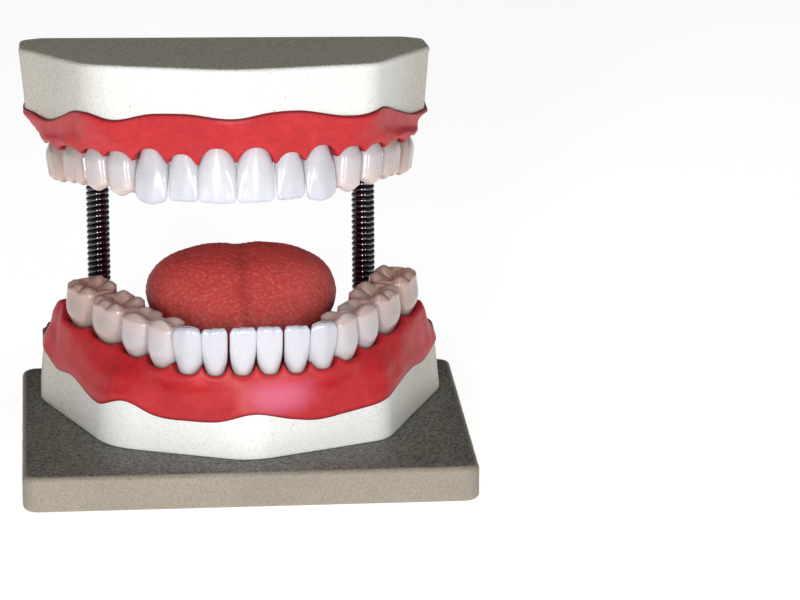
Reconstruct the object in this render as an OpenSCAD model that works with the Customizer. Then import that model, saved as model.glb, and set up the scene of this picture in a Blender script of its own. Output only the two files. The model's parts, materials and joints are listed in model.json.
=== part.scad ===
// Typodont model: a large demonstration set of jaws on a base plate.
// The upper jaw is carried by two close-wound coil springs and can be tilted and swayed.
// Units are millimetres. +Z is up, the front faces -Y, left is the viewer's left (-X).

// Part to draw, or all of them

/* [Base] */
// Width of the base plate
base_width = 240; // [200:1:300]
// Depth of the base plate
base_depth = 187; // [150:1:240]
// Thickness of the base plate
base_thickness = 20; // [14:1:30]
// Radius of the plate's upright corners
base_corner = 6; // [3:1:20]
// Bevel around the plate's top and bottom edges
base_bevel = 2; // [1:0.5:5]
// Thickness of the cork pad under the plate
pad_thickness = 3; // [2:0.5:5]
// How far the pad stands out of its recess
pad_proud = 1; // [0.5:0.5:2]
// Distance from the plate's edge to the pad
pad_margin = 12; // [6:1:30]

/* [Jaw blocks] */
// Half of the width of a jaw block
block_half_width = 110; // [90:1:130]
// Distance from the centre to the block's nose
block_nose = 76.5; // [60:0.5:90]
// Sideways position of the front corners
block_corner_x = 75; // [55:1:95]
// Forward position of the front corners
block_corner_y = 47; // [30:1:60]
// Where the slanted sides end and the straight sides begin
block_side_y = 37; // [10:1:60]
// Distance from the centre to the block's back face
block_back = 88; // [70:1:100]
// Length of the bevels at the two back corners
block_heel = 11; // [4:1:25]
// Radius of the block's upright corners
block_round = 12; // [4:1:20]
// Share of its size that a block keeps at its gum side
block_draft = 0.978; // [0.94:0.002:1]
// Height of the lower jaw block
lower_block_height = 23.5; // [18:0.5:35]
// Height of the upper jaw block
upper_block_height = 27.7; // [20:0.1:40]
// Wall of the hollow upper block
upper_block_wall = 4; // [3:0.5:8]
// Sideways position of the whole upper jaw
upper_mid = -6; // [-10:0.5:10]
// Width of the upper block as a share of the lower block's
upper_wide = 1.012; // [1:0.002:1.05]
// How much lower the upper block's top is at its right end than at its left
upper_top_fall = 3.2; // [0:0.1:4]
// Forward shift of the upper block
upper_forward = 3; // [0:0.5:8]
// Height of the upper block's top face with the jaws parallel
upper_top = 212.2; // [190:0.1:240]

/* [Gums] */
// Sideways position of the lower arch
lower_arch_mid = 4.1; // [-8:0.1:8]
// Sideways position of the upper arch
upper_arch_mid = -4.7; // [-10:0.1:8]
// Forward position of the lower front teeth at their necks
lower_arch_front = 66.9; // [55:0.1:80]
// Forward position of the upper front teeth at their necks
upper_arch_front = 66.5; // [55:0.5:80]
// Height of the lower necks at the front
lower_neck = 65.5; // [55:0.5:80]
// Height of the upper necks at the front with the jaws parallel
upper_neck = 168.4; // [150:0.1:185]
// Rise of the lower neck plane towards the back, in degrees
lower_plane = 5; // [0:0.5:8]
// Turn of the lower arch about the vertical, in degrees
lower_turn = 2; // [-4:0.5:4]
// Fall of the upper neck plane towards the back, in degrees
upper_plane = 3.2; // [0:0.1:8]
// Gum left outside the necks
gum_collar = 2.5; // [1:0.5:6]
// Gum left inside the crowns
gum_inner = 4; // [2:0.5:8]
// Thickness of the floor of the mouth and of the palate
gum_floor = 4; // [3:0.5:8]
// Height of the gum around the lower spring sockets
heel_height = 14; // [8:1:25]
// Radius of the gum around the spring sockets
heel_radius = 14; // [10:1:20]

/* [Teeth] */
// Widths of the lower crowns, from the midline back
lower_widths = [14.6, 14.4, 17, 20, 23, 28.8, 27.6];
// Depths of the lower crowns, cheek side to tongue side
lower_depths = [14, 15, 17.5, 18.5, 20.5, 25.5, 25];
// Heights of the lower crowns
lower_heights = [26, 25.5, 26, 25, 22.5, 21.5, 21.5];
// Widths of the upper crowns, from the midline back
upper_widths = [21, 17, 19.5, 18, 17.5, 26, 24.5];
// Depths of the upper crowns, cheek side to tongue side
upper_depths = [17, 15.5, 19, 21.5, 22, 26.5, 25.5];
// Heights of the upper crowns
upper_heights = [28.7, 27.8, 29.5, 25, 22.5, 20.5, 20.5];
// Share of its width that a crown keeps, so that neighbours stay apart
crown_share = 0.92; // [0.85:0.01:0.99]
// Depth of the root pegs in the gum
root_depth = 12; // [8:0.5:15]
// Radius of a root peg as a share of its crown's width
root_share = 0.27; // [0.2:0.01:0.32]
// Radial clearance of the root pegs
root_clearance = 0.05; // [0.02:0.01:0.1]

/* [Tongue] */
// Half of the tongue's width
tongue_half_width = 52.8; // [40:0.1:60]
// Height of the tongue's top
tongue_top = 110; // [95:0.5:120]
// Where the tongue is widest, behind the centre
tongue_back = 28; // [10:1:50]
// Half of the length of the tongue's back part
tongue_reach = 42; // [30:1:60]
// Where the centre of the tongue's tip is, ahead of the centre
tongue_tip = 12; // [0:1:25]

/* [Springs] */
// Sideways distance of each spring from their common centre
spring_x = 73; // [60:0.5:90]
// Sideways position of that common centre
spring_mid = -3; // [-8:0.5:8]
// How far behind the centre the springs stand
spring_y = 70; // [50:1:80]
// Outer radius of a spring
spring_radius = 6.5; // [5:0.1:9]
// Inner radius of a spring
spring_bore = 3.3; // [2:0.1:6]
// Length of spring held in each jaw
spring_grip = 24; // [15:1:30]
// Free length of a spring between the jaws
spring_free = 112; // [90:1:140]
// Radial gap between a spring and its socket
spring_gap = 0.3; // [0.2:0.05:0.6]
// Radius of the studs inside the springs' ends
stud_radius = 3; // [2:0.1:4]
// How far the upper jaw leans back at rest, in degrees
open_angle = 8; // [0:0.5:15]

/* [Fasteners] */
// Radius of the machine screws
screw_radius = 2.5; // [2:0.1:4]
// Radius of the screw heads
screw_head = 4.6; // [3.5:0.1:8]
// Height of the screw heads
screw_head_height = 3.5; // [2:0.5:6]
// Sideways position of the four jaw screws
jaw_screw_x = 45; // [30:1:80]
// Front and back position of the four jaw screws
jaw_screw_y = 33; // [20:1:60]
// Sideways position of the four palate screws
palate_screw_x = 24; // [15:1:40]
// Front and back position of the four palate screws
palate_screw_y = 20; // [10:1:50]
// Radius of the set screws that clamp the springs
set_screw_radius = 3; // [2:0.5:5]

/* [Hidden] */
$fn = 64;
eps = 0.01;
base_bottom = pad_proud;
base_top = base_bottom + base_thickness;
lower_block_top = base_top + lower_block_height;
upper_block_bottom = upper_top - upper_block_height;
floor_top = lower_block_top + gum_floor;
palate_roof = upper_block_bottom - gum_floor;
hinge_y = spring_y;
free_bottom = lower_block_top + heel_height - 1;
hinge_z = free_bottom + spring_free / 2;
free_top = free_bottom + spring_free;
spring_bottom = free_bottom - spring_grip;
spring_top = free_top + spring_grip;
bend_radius = (spring_free / 2) / tan(open_angle / 2);
socket_radius = spring_radius + spring_gap;
hull_fn = 32;
crown_fn = 24;
reach_through = 60;
palate_mid_y = 10;
// Each arch runs back from the midline along arcs of [radius, degrees turned], then straight.
lower_arcs = [[180, 9], [40, 42], [320, 14]];
upper_arcs = [[70, 20], [230, 10], [62, 34], [9000, 0.1], [90, 14]];
stone = [0.86, 0.83, 0.76];
plate_grey = [0.62, 0.58, 0.52];
gum_red = [0.78, 0.16, 0.16];
tongue_red = [0.72, 0.22, 0.2];
enamel = [0.94, 0.93, 0.9];
steel = [0.78, 0.79, 0.8];
cork = [0.55, 0.38, 0.22];

// ---- the dental arch -------------------------------------------------------------------

function arc_length(arc) = arc[0] * arc[1] * PI / 180;

// [x, y, heading] after turning by a degrees on radius r
function turned(p, r, a) = [
    p[0] + r * (sin(p[2] + a) - sin(p[2])),
    p[1] + r * (cos(p[2]) - cos(p[2] + a)),
    p[2] + a
];

// [x, y, heading] at distance s from the midline along the arch
function arch_at(arcs, s, p = [0, 0, 0], i = 0) =
    i >= len(arcs) ? [p[0] + s * cos(p[2]), p[1] + s * sin(p[2]), p[2]] :
    s <= arc_length(arcs[i]) ? turned(p, arcs[i][0], s / arcs[i][0] * 180 / PI) :
    arch_at(arcs, s - arc_length(arcs[i]), turned(p, arcs[i][0], arcs[i][1]), i + 1);

// distance along the arch to the middle of tooth i
function tooth_s(widths, i) =
    i == 0 ? widths[0] / 2 : tooth_s(widths, i - 1) + (widths[i - 1] + widths[i]) / 2;

// point that lies d towards the tongue from the arch at distance s
function inner_point(arcs, s, d) = let (p = arch_at(arcs, s)) [p[0] - d * sin(p[2]), p[1] + d * cos(p[2])];

// side is -1 for the viewer's left and 1 for the right
module place_tooth(arcs, widths, i, side) {
    p = arch_at(arcs, tooth_s(widths, i));
    mirror([side < 0 ? 1 : 0, 0, 0])
        translate([p[0], p[1], 0])
            rotate([0, 0, p[2]])
                children();
}

module lower_neck_plane() {
    translate([lower_arch_mid, -lower_arch_front, lower_neck])
        rotate([lower_plane, 0, lower_turn])
            children();
}

module upper_neck_plane() {
    translate([upper_arch_mid, -upper_arch_front, upper_neck])
        rotate([-upper_plane, 0, 0])
            mirror([0, 0, 1])
                children();
}

// carries what is drawn with the jaws parallel to the upper jaw's rest position
module upper_jaw_pose() {
    translate([0, hinge_y, hinge_z])
        rotate([-open_angle, 0, 0])
            translate([0, -hinge_y, -hinge_z])
                children();
}

// ---- teeth ------------------------------------------------------------------------------

// a flat oval slab, half sizes rx and ry
module oval(x, y, z, rx, ry) {
    translate([x, y, z])
        scale([rx, ry, 1])
            cylinder(r = 1, h = 0.8, $fn = crown_fn);
}

// the cheek-side face is at y = 0 and the neck is at z = 0
module front_crown(w, d, h, point) {
    hull() {
        oval(0, d * 0.5, 0, w * 0.36, d * 0.5);
        oval(0, d * 0.42, h * 0.35, w * 0.46, d * 0.4);
        for (x = [-1, 1])
            translate([x * (w / 2 - 2), d * 0.22, h * 0.78])
                cylinder(r = 2, h = h * (0.2 - point), $fn = crown_fn);
        oval(0, d * 0.25, h - 0.8, w * (0.42 - 2 * point), 1.6);
    }
}

module back_crown(w, d, h, taper) {
    corner = w * 0.24;
    difference() {
        hull() {
            oval(0, d * 0.5, 0, w * 0.37 * (1 + taper) / 2, d * 0.42);
            for (x = [-1, 1]) {
                translate([x * (w / 2 - corner), corner, h * 0.4])
                    cylinder(r = corner, h = h * 0.3, $fn = crown_fn);
                translate([x * (w * taper / 2 - corner), d - corner, h * 0.4])
                    cylinder(r = corner, h = h * 0.3, $fn = crown_fn);
                translate([x * (w * 0.46 - corner), corner + d * 0.08, h - 0.8])
                    cylinder(r = corner * 0.8, h = 0.8, $fn = crown_fn);
                translate([x * (w * taper * 0.46 - corner), d * 0.92 - corner, h - 0.8])
                    cylinder(r = corner * 0.8, h = 0.8, $fn = crown_fn);
            }
        }
        translate([0, d * 0.5, h + w * 0.28])
            sphere(r = w * 0.38, $fn = crown_fn);
    }
}

module crown(i, w, d, h) {
    if (i < 2)
        front_crown(w, d, h, 0);
    else if (i == 2)
        front_crown(w, d, h, 0.1);
    else
        back_crown(w, d, h, i == 3 ? 0.56 : i < 5 ? 0.66 : 0.74);
}

module root(w, d, extra) {
    translate([0, d / 2, -root_depth])
        cylinder(r = w * root_share + extra, h = root_depth + (extra > 0 ? eps : 0.4));
}

module tooth(i, w, d, h) {
    crown(i, w, d, h);
    root(w, d, 0);
}

module lower_tooth(i, side) {
    color(enamel)
        lower_neck_plane()
            place_tooth(lower_arcs, lower_widths, i, side)
                tooth(i, lower_widths[i] * crown_share, lower_depths[i], lower_heights[i]);
}

module upper_tooth(i, side) {
    color(enamel)
        upper_jaw_pose()
            upper_neck_plane()
                place_tooth(upper_arcs, upper_widths, i, side)
                    tooth(i, upper_widths[i] * crown_share, upper_depths[i], upper_heights[i]);
}

// sockets for all the root pegs of one arch
module root_sockets(arcs, widths, depths) {
    for (side = [-1, 1], i = [0:len(widths) - 1])
        place_tooth(arcs, widths, i, side)
            root(widths[i] * crown_share, depths[i], root_clearance);
}

// ---- shared shapes ----------------------------------------------------------------------

module block_outline() {
    half = [
        [block_corner_x, -block_corner_y],
        [block_half_width, block_side_y],
        [block_half_width, block_back - block_heel],
        [block_half_width - block_heel, block_back]
    ];
    other = [for (i = [3:-1:0]) [-half[i][0], half[i][1]]];
    offset(r = block_round, $fn = crown_fn)
        offset(delta = -block_round)
            polygon(concat([[0, -block_nose]], half, other));
}

// a screw with its head's underside at z = 0 and its shank going up
module screw(length) {
    cylinder(r = screw_radius, h = length);
    translate([0, 0, -screw_head_height])
        cylinder(r = screw_head, h = screw_head_height);
}

// the hole for that screw, with a counterbore
module screw_hole(length) {
    cylinder(r = screw_radius + root_clearance, h = length);
    translate([0, 0, -reach_through])
        cylinder(r = screw_head + spring_gap, h = reach_through);
}

module at_jaw_screws() {
    for (x = [-1, 1], y = [-1, 1])
        translate([x * jaw_screw_x, y * jaw_screw_y, 0])
            children();
}

module at_palate_screws() {
    for (x = [-1, 1], y = [-1, 1])
        translate([upper_mid + x * palate_screw_x, y * palate_screw_y, 0])
            children();
}

module at_springs() {
    for (x = [-1, 1])
        translate([spring_mid + x * spring_x, spring_y, 0])
            children();
}

// the hollow inside an arch, open at the back
module mouth_outline(arcs, front_depth, back_depth, length) {
    steps = 12;
    right = [
        for (i = [0:steps])
            inner_point(arcs, length * i / steps, front_depth + (back_depth - front_depth) * i / steps)
    ];
    back = [[46, 180], [-46, 180]];
    left = [for (i = [steps:-1:1]) [-right[i][0], right[i][1]]];
    polygon(concat(right, back, left));
}

// thin slabs under the crowns, one for each tooth, whose hull is the crest of the ridge
module crest(arcs, widths, depths) {
    for (side = [-1, 1], i = [0:len(widths) - 1])
        place_tooth(arcs, widths, i, side)
            translate([0, depths[i] / 2, -1])
                cylinder(r = depths[i] / 2 + gum_collar, h = 1, $fn = hull_fn);
}

// a set screw pointing to the front, its tip at the spring
module set_screw(radius, length) {
    translate([0, spring_radius + 0.1, 0])
        rotate([-90, 0, 0])
            cylinder(r = radius, h = length);
}

// ---- base ---------------------------------------------------------------------------------

module base_pad() {
    color(cork)
        translate([0, 0, pad_thickness / 2])
            cube([base_width - 2 * pad_margin, base_depth - 2 * pad_margin, pad_thickness], center = true);
}

module base_corners(inset, height) {
    for (x = [-1, 1], y = [-1, 1])
        translate([x * (base_width / 2 - base_corner), y * (base_depth / 2 - base_corner), 0])
            cylinder(r = base_corner - inset, h = height, $fn = hull_fn);
}

module base_plate() {
    recess = pad_thickness - pad_proud;
    color(plate_grey)
        difference() {
            translate([0, 0, base_bottom])
                hull() {
                    base_corners(base_bevel, base_thickness);
                    translate([0, 0, base_bevel])
                        base_corners(0, base_thickness - 2 * base_bevel);
                }
            translate([0, 0, base_bottom])
                cube([base_width - 2 * pad_margin, base_depth - 2 * pad_margin, 2 * recess], center = true);
            translate([0, 0, pad_thickness + screw_head_height + 1])
                at_jaw_screws() screw_hole(reach_through);
        }
}

module jaw_mounting_screws() {
    color(steel)
        translate([0, 0, pad_thickness + screw_head_height + 1])
            at_jaw_screws() screw(base_top + 6);
}

// ---- lower jaw ----------------------------------------------------------------------------

module lower_jaw_block() {
    jaw_screw_end = pad_thickness + screw_head_height + 1 + base_top + 6;
    color(stone)
        difference() {
            translate([0, 0, base_top])
                linear_extrude(lower_block_height, scale = block_draft)
                    block_outline();
            at_jaw_screws()
                cylinder(r = screw_radius + root_clearance, h = jaw_screw_end + 0.5);
            at_springs() {
                translate([0, 0, spring_bottom])
                    cylinder(r = socket_radius, h = reach_through);
                translate([0, 0, spring_bottom - 6])
                    cylinder(r = stud_radius + root_clearance, h = reach_through);
                translate([0, 0, spring_bottom + 5])
                    set_screw(set_screw_radius + root_clearance, reach_through);
            }
            translate([0, tongue_tip, base_top + screw_head_height + 1])
                screw_hole(reach_through);
        }
}

module lower_gum() {
    color(gum_red)
        difference() {
            hull() {
                translate([0, 0, lower_block_top])
                    linear_extrude(1)
                        scale(block_draft)
                            offset(delta = -1)
                                block_outline();
                lower_neck_plane()
                    crest(lower_arcs, lower_widths, lower_depths);
                at_springs()
                    translate([0, 0, lower_block_top])
                        cylinder(r = heel_radius, h = heel_height, $fn = hull_fn);
            }
            translate([lower_arch_mid, -lower_arch_front, floor_top])
                linear_extrude(reach_through)
                    mouth_outline(lower_arcs, lower_depths[0] + gum_inner, lower_depths[6] + gum_inner, 148);
            lower_neck_plane()
                root_sockets(lower_arcs, lower_widths, lower_depths);
            at_springs()
                translate([0, 0, lower_block_top - eps])
                    cylinder(r = socket_radius, h = reach_through);
            translate([0, tongue_tip, base_top])
                cylinder(r = screw_radius + root_clearance, h = reach_through);
        }
}

module tongue_lobe(side) {
    body_z = tongue_top - 25;
    hull() {
        translate([side * 12, tongue_back, body_z])
            scale([tongue_half_width - 12, tongue_reach, 25])
                sphere(r = 1, $fn = hull_fn);
        translate([side * 6, -tongue_tip, body_z - 5])
            scale([28, 32, 16])
                sphere(r = 1, $fn = hull_fn);
        translate([side * 6, tongue_tip, floor_top])
            scale([24, 36, 1])
                cylinder(r = 1, h = 1, $fn = hull_fn);
    }
}

module tongue() {
    color(tongue_red)
        difference() {
            union() {
                tongue_lobe(-1);
                tongue_lobe(1);
            }
            translate([0, tongue_tip, floor_top - 1])
                cylinder(r = screw_radius + root_clearance, h = 18);
        }
}

module tongue_screw() {
    color(steel)
        translate([0, tongue_tip, base_top + screw_head_height + 1])
            screw(lower_block_height + gum_floor + 10);
}

module lower_spring_studs() {
    color(steel)
        at_springs()
            translate([0, 0, spring_bottom - 6])
                cylinder(r = stud_radius, h = spring_grip);
}

module lower_set_screws() {
    color(steel)
        at_springs()
            translate([0, 0, spring_bottom + 5])
                set_screw(set_screw_radius, 8);
}

// ---- springs ------------------------------------------------------------------------------

// a rod along a spring's centre line: straight in both jaws and bent evenly between them
module spring_rod(radius, extra) {
    translate([0, spring_y, spring_bottom - extra])
        cylinder(r = radius, h = free_bottom - spring_bottom + extra);
    translate([0, spring_y + bend_radius, free_bottom])
        rotate([0, -90, 0])
            rotate([0, 0, -90])
                rotate_extrude(angle = open_angle)
                    translate([bend_radius, 0])
                        circle(r = radius);
    upper_jaw_pose()
        translate([0, spring_y, free_top])
            cylinder(r = radius, h = spring_top - free_top + extra);
    end_coil(free_bottom, radius);
    upper_jaw_pose()
        end_coil(free_top, radius);
}

// the coil where the straight and the bent parts meet, a touch thicker than the rest
module end_coil(z, radius) {
    translate([0, spring_y, z - 1])
        cylinder(r = radius + root_clearance, h = 2);
}

module spring(side) {
    color(steel)
        translate([spring_mid + side * spring_x, 0, 0])
            difference() {
                spring_rod(spring_radius, 0);
                spring_rod(spring_bore, 1);
            }
}

module left_spring() spring(-1);
module right_spring() spring(1);

// ---- upper jaw ----------------------------------------------------------------------------

module upper_outline() {
    translate([upper_mid, -upper_forward])
        scale([upper_wide, 1])
            block_outline();
}

// everything above the top face, which falls towards the right
module above_top() {
    translate([upper_mid - block_half_width, 0, upper_top])
        rotate([0, atan(upper_top_fall / (2 * block_half_width)), 0])
            translate([-30, -150, 0])
                cube([300, 300, 20]);
}

module upper_jaw_block() {
    color(stone)
        upper_jaw_pose()
            difference() {
                union() {
                    difference() {
                        upper_slab(0, upper_block_height);
                        upper_slab(upper_block_wall, upper_block_height - upper_block_wall - upper_top_fall);
                    }
                    intersection() {
                        upper_slab(1, upper_block_height);
                        translate([0, 0, upper_block_bottom])
                            union() {
                                at_palate_screws()
                                    cylinder(r = 7, h = upper_block_height - 1);
                                at_springs() {
                                    cylinder(r = 12, h = upper_block_height - 1);
                                    translate([-12, 0, 0])
                                        cube([24, reach_through, upper_block_height - 1]);
                                }
                            }
                    }
                }
                at_springs() {
                    translate([0, 0, spring_top - reach_through])
                        cylinder(r = socket_radius, h = reach_through);
                    translate([0, 0, spring_top - eps])
                        cylinder(r = stud_radius + root_clearance, h = 6);
                    translate([0, 0, spring_top - 4.5])
                        set_screw(set_screw_radius + root_clearance, reach_through);
                }
                translate([0, 0, palate_roof])
                    at_palate_screws()
                        cylinder(r = screw_radius + root_clearance, h = 20.5);
                above_top();
            }
}

// the block's shape, moved in by inset on every side, from its gum side up
module upper_slab(inset, height) {
    translate([0, 0, upper_block_bottom - (inset > 0 ? eps : 0)])
        mirror([0, 0, 1])
            translate([0, 0, -height])
                linear_extrude(height, scale = block_draft)
                    offset(delta = -inset)
                        upper_outline();
}

module upper_gum() {
    color(gum_red)
        upper_jaw_pose()
            difference() {
                hull() {
                    translate([0, 0, upper_block_bottom - 1])
                        linear_extrude(1)
                            scale(block_draft)
                                offset(delta = -1)
                                    upper_outline();
                    upper_neck_plane()
                        crest(upper_arcs, upper_widths, upper_depths);
                    at_springs()
                        translate([0, 0, upper_block_bottom - heel_height])
                            cylinder(r = heel_radius, h = heel_height, $fn = hull_fn);
                }
                hull() {
                    translate([upper_arch_mid, -upper_arch_front, palate_roof - reach_through])
                        linear_extrude(reach_through - 11)
                            mouth_outline(upper_arcs, upper_depths[0] + gum_inner,
                                upper_depths[6] + gum_inner, 141);
                    translate([upper_mid, palate_mid_y, palate_roof - 1])
                        scale([palate_screw_x + 20, palate_screw_y + 30, 1])
                            cylinder(r = 1, h = 1, $fn = hull_fn);
                    translate([upper_mid, block_back, palate_roof - 1])
                        cube([60, 40, 2], center = true);
                }
                upper_neck_plane()
                    root_sockets(upper_arcs, upper_widths, upper_depths);
                at_springs()
                    translate([0, 0, upper_block_bottom + eps - reach_through])
                        cylinder(r = socket_radius, h = reach_through);
                translate([0, 0, palate_roof - 1])
                    at_palate_screws()
                        cylinder(r = screw_radius + root_clearance, h = 20);
            }
}

module palate_screws() {
    color(steel)
        upper_jaw_pose()
            translate([0, 0, palate_roof])
                at_palate_screws() screw(20);
}

module upper_spring_studs() {
    color(steel)
        upper_jaw_pose()
            at_springs()
                translate([0, 0, spring_top + 6 - spring_grip - 0.5])
                    cylinder(r = stud_radius, h = spring_grip);
}

module upper_set_screws() {
    color(steel)
        upper_jaw_pose()
            at_springs()
                translate([0, 0, spring_top - 4.5])
                    set_screw(set_screw_radius, 6.5);
}

// ---- the teeth by name --------------------------------------------------------------------

module lower_left_central_incisor() lower_tooth(0, -1);
module lower_left_lateral_incisor() lower_tooth(1, -1);
module lower_left_canine() lower_tooth(2, -1);
module lower_left_first_premolar() lower_tooth(3, -1);
module lower_left_second_premolar() lower_tooth(4, -1);
module lower_left_first_molar() lower_tooth(5, -1);
module lower_left_second_molar() lower_tooth(6, -1);
module lower_right_central_incisor() lower_tooth(0, 1);
module lower_right_lateral_incisor() lower_tooth(1, 1);
module lower_right_canine() lower_tooth(2, 1);
module lower_right_first_premolar() lower_tooth(3, 1);
module lower_right_second_premolar() lower_tooth(4, 1);
module lower_right_first_molar() lower_tooth(5, 1);
module lower_right_second_molar() lower_tooth(6, 1);
module upper_left_central_incisor() upper_tooth(0, -1);
module upper_left_lateral_incisor() upper_tooth(1, -1);
module upper_left_canine() upper_tooth(2, -1);
module upper_left_first_premolar() upper_tooth(3, -1);
module upper_left_second_premolar() upper_tooth(4, -1);
module upper_left_first_molar() upper_tooth(5, -1);
module upper_left_second_molar() upper_tooth(6, -1);
module upper_right_central_incisor() upper_tooth(0, 1);
module upper_right_lateral_incisor() upper_tooth(1, 1);
module upper_right_canine() upper_tooth(2, 1);
module upper_right_first_premolar() upper_tooth(3, 1);
module upper_right_second_premolar() upper_tooth(4, 1);
module upper_right_first_molar() upper_tooth(5, 1);
module upper_right_second_molar() upper_tooth(6, 1);

// ---- drawing ------------------------------------------------------------------------------

base_pad();
base_plate();
jaw_mounting_screws();
lower_jaw_block();
lower_gum();
tongue();
tongue_screw();
lower_spring_studs();
lower_set_screws();
left_spring();
right_spring();
upper_jaw_block();
upper_gum();
palate_screws();
upper_spring_studs();
upper_set_screws();
lower_left_central_incisor();
lower_left_lateral_incisor();
lower_left_canine();
lower_left_first_premolar();
lower_left_second_premolar();
lower_left_first_molar();
lower_left_second_molar();
lower_right_central_incisor();
lower_right_lateral_incisor();
lower_right_canine();
lower_right_first_premolar();
lower_right_second_premolar();
lower_right_first_molar();
lower_right_second_molar();
upper_left_central_incisor();
upper_left_lateral_incisor();
upper_left_canine();
upper_left_first_premolar();
upper_left_second_premolar();
upper_left_first_molar();
upper_left_second_molar();
upper_right_central_incisor();
upper_right_lateral_incisor();
upper_right_canine();
upper_right_first_premolar();
upper_right_second_premolar();
upper_right_first_molar();
upper_right_second_molar();
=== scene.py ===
import json
import math
import random

import bmesh
import bpy
import numpy as np
from mathutils import Matrix, Vector, noise


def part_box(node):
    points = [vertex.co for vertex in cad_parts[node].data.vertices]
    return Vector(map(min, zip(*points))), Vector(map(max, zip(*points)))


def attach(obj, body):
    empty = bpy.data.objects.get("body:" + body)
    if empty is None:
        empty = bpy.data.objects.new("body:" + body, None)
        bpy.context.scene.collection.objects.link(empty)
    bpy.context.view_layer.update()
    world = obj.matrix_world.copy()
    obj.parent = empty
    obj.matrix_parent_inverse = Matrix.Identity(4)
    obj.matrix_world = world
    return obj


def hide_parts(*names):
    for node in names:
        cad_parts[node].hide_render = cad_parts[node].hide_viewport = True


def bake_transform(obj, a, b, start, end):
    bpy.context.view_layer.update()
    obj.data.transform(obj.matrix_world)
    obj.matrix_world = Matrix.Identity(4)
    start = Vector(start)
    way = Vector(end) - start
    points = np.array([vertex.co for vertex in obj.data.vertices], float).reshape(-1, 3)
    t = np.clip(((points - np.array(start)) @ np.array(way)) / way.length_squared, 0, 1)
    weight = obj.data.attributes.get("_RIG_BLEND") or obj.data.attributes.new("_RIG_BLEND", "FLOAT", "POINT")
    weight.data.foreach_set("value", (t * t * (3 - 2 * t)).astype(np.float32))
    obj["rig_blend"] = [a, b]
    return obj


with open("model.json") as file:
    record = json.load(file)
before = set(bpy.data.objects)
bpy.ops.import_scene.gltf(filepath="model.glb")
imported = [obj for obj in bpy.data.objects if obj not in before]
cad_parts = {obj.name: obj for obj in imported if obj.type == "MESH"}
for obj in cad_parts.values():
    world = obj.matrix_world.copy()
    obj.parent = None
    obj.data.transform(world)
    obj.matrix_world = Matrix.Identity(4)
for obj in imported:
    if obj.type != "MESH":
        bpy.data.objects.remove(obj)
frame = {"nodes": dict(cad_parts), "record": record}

random.seed(7)
# mathutils seeds its own noise from the clock, so it needs a seed as well
noise.seed_set(7)
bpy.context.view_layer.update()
MM = 0.001

# -------- places from the frame, in mm


def box_mm(node):
    """Lowest and highest corner of a solid node, in mm."""
    return tuple(np.array(corner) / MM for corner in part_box(node))


plate_lo, plate_hi = box_mm("base_plate")
PLATE_BOTTOM, PLATE_TOP = plate_lo[2], plate_hi[2]
PLATE_W, PLATE_D = (plate_hi - plate_lo)[:2]
LOWER_TOP = box_mm("lower_jaw_block")[1][2]
BLOCK_H = LOWER_TOP - PLATE_TOP
tilt_joint = [j for j in frame["record"]["behaviour"]["joints"] if j["name"] == "jaw_tilt"][0]
HINGE_Y, HINGE_Z = (v / MM for v in tilt_joint["pos_m"][1:])
SPRING_BOXES = [box_mm(node) for node in ("left_spring", "right_spring")]
SPRING_R = (SPRING_BOXES[0][1] - SPRING_BOXES[0][0])[0] / 2 - 0.05
SPRING_X = [(lo[0] + hi[0]) / 2 for lo, hi in SPRING_BOXES]

OPEN = math.radians(8.0)         # how far the upper jaw leans back at rest
UPPER_TOP = 212.2                # the upper block in the parallel-jaw frame, before it is tilted
UPPER_H = 27.7
UPPER_MID = -6.0
UPPER_FORWARD = 3.0
UPPER_WIDE = 1.012
TOP_FALL = 3.2 / 220.0           # the upper block's top falls to the viewer's right
TOP_LEFT = 111.0                 # distance from the block's middle to where that fall starts
FLOOR_Z = LOWER_TOP + 4.0
ROOF_Z = UPPER_TOP - UPPER_H - 4.0
DRAFT = 0.978                    # how much narrower a block is on its gum side
BACK_FACE = 88.0                 # a block's flat back in its outline
LOWER_BITE, LOWER_SLOPE = 65.5, math.radians(5.0)
UPPER_BITE, UPPER_SLOPE = 168.4, math.radians(3.2)
SKIN = 0.35                      # how far the stone skin stays inside the solid block


def tilted(p):
    """From the parallel-jaw frame to the upper jaw's rest pose, mm."""
    p = np.asarray(p, float)
    out = p.copy()
    y, z = p[..., 1] - HINGE_Y, p[..., 2] - HINGE_Z
    c, s = math.cos(-OPEN), math.sin(-OPEN)
    out[..., 1] = HINGE_Y + y * c - z * s
    out[..., 2] = HINGE_Z + y * s + z * c
    return out


TILT = (
    Matrix.Translation((0, HINGE_Y * MM, HINGE_Z * MM))
    @ Matrix.Rotation(-OPEN, 4, "X")
    @ Matrix.Translation((0, -HINGE_Y * MM, -HINGE_Z * MM))
)

# -------- node material kit


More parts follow.
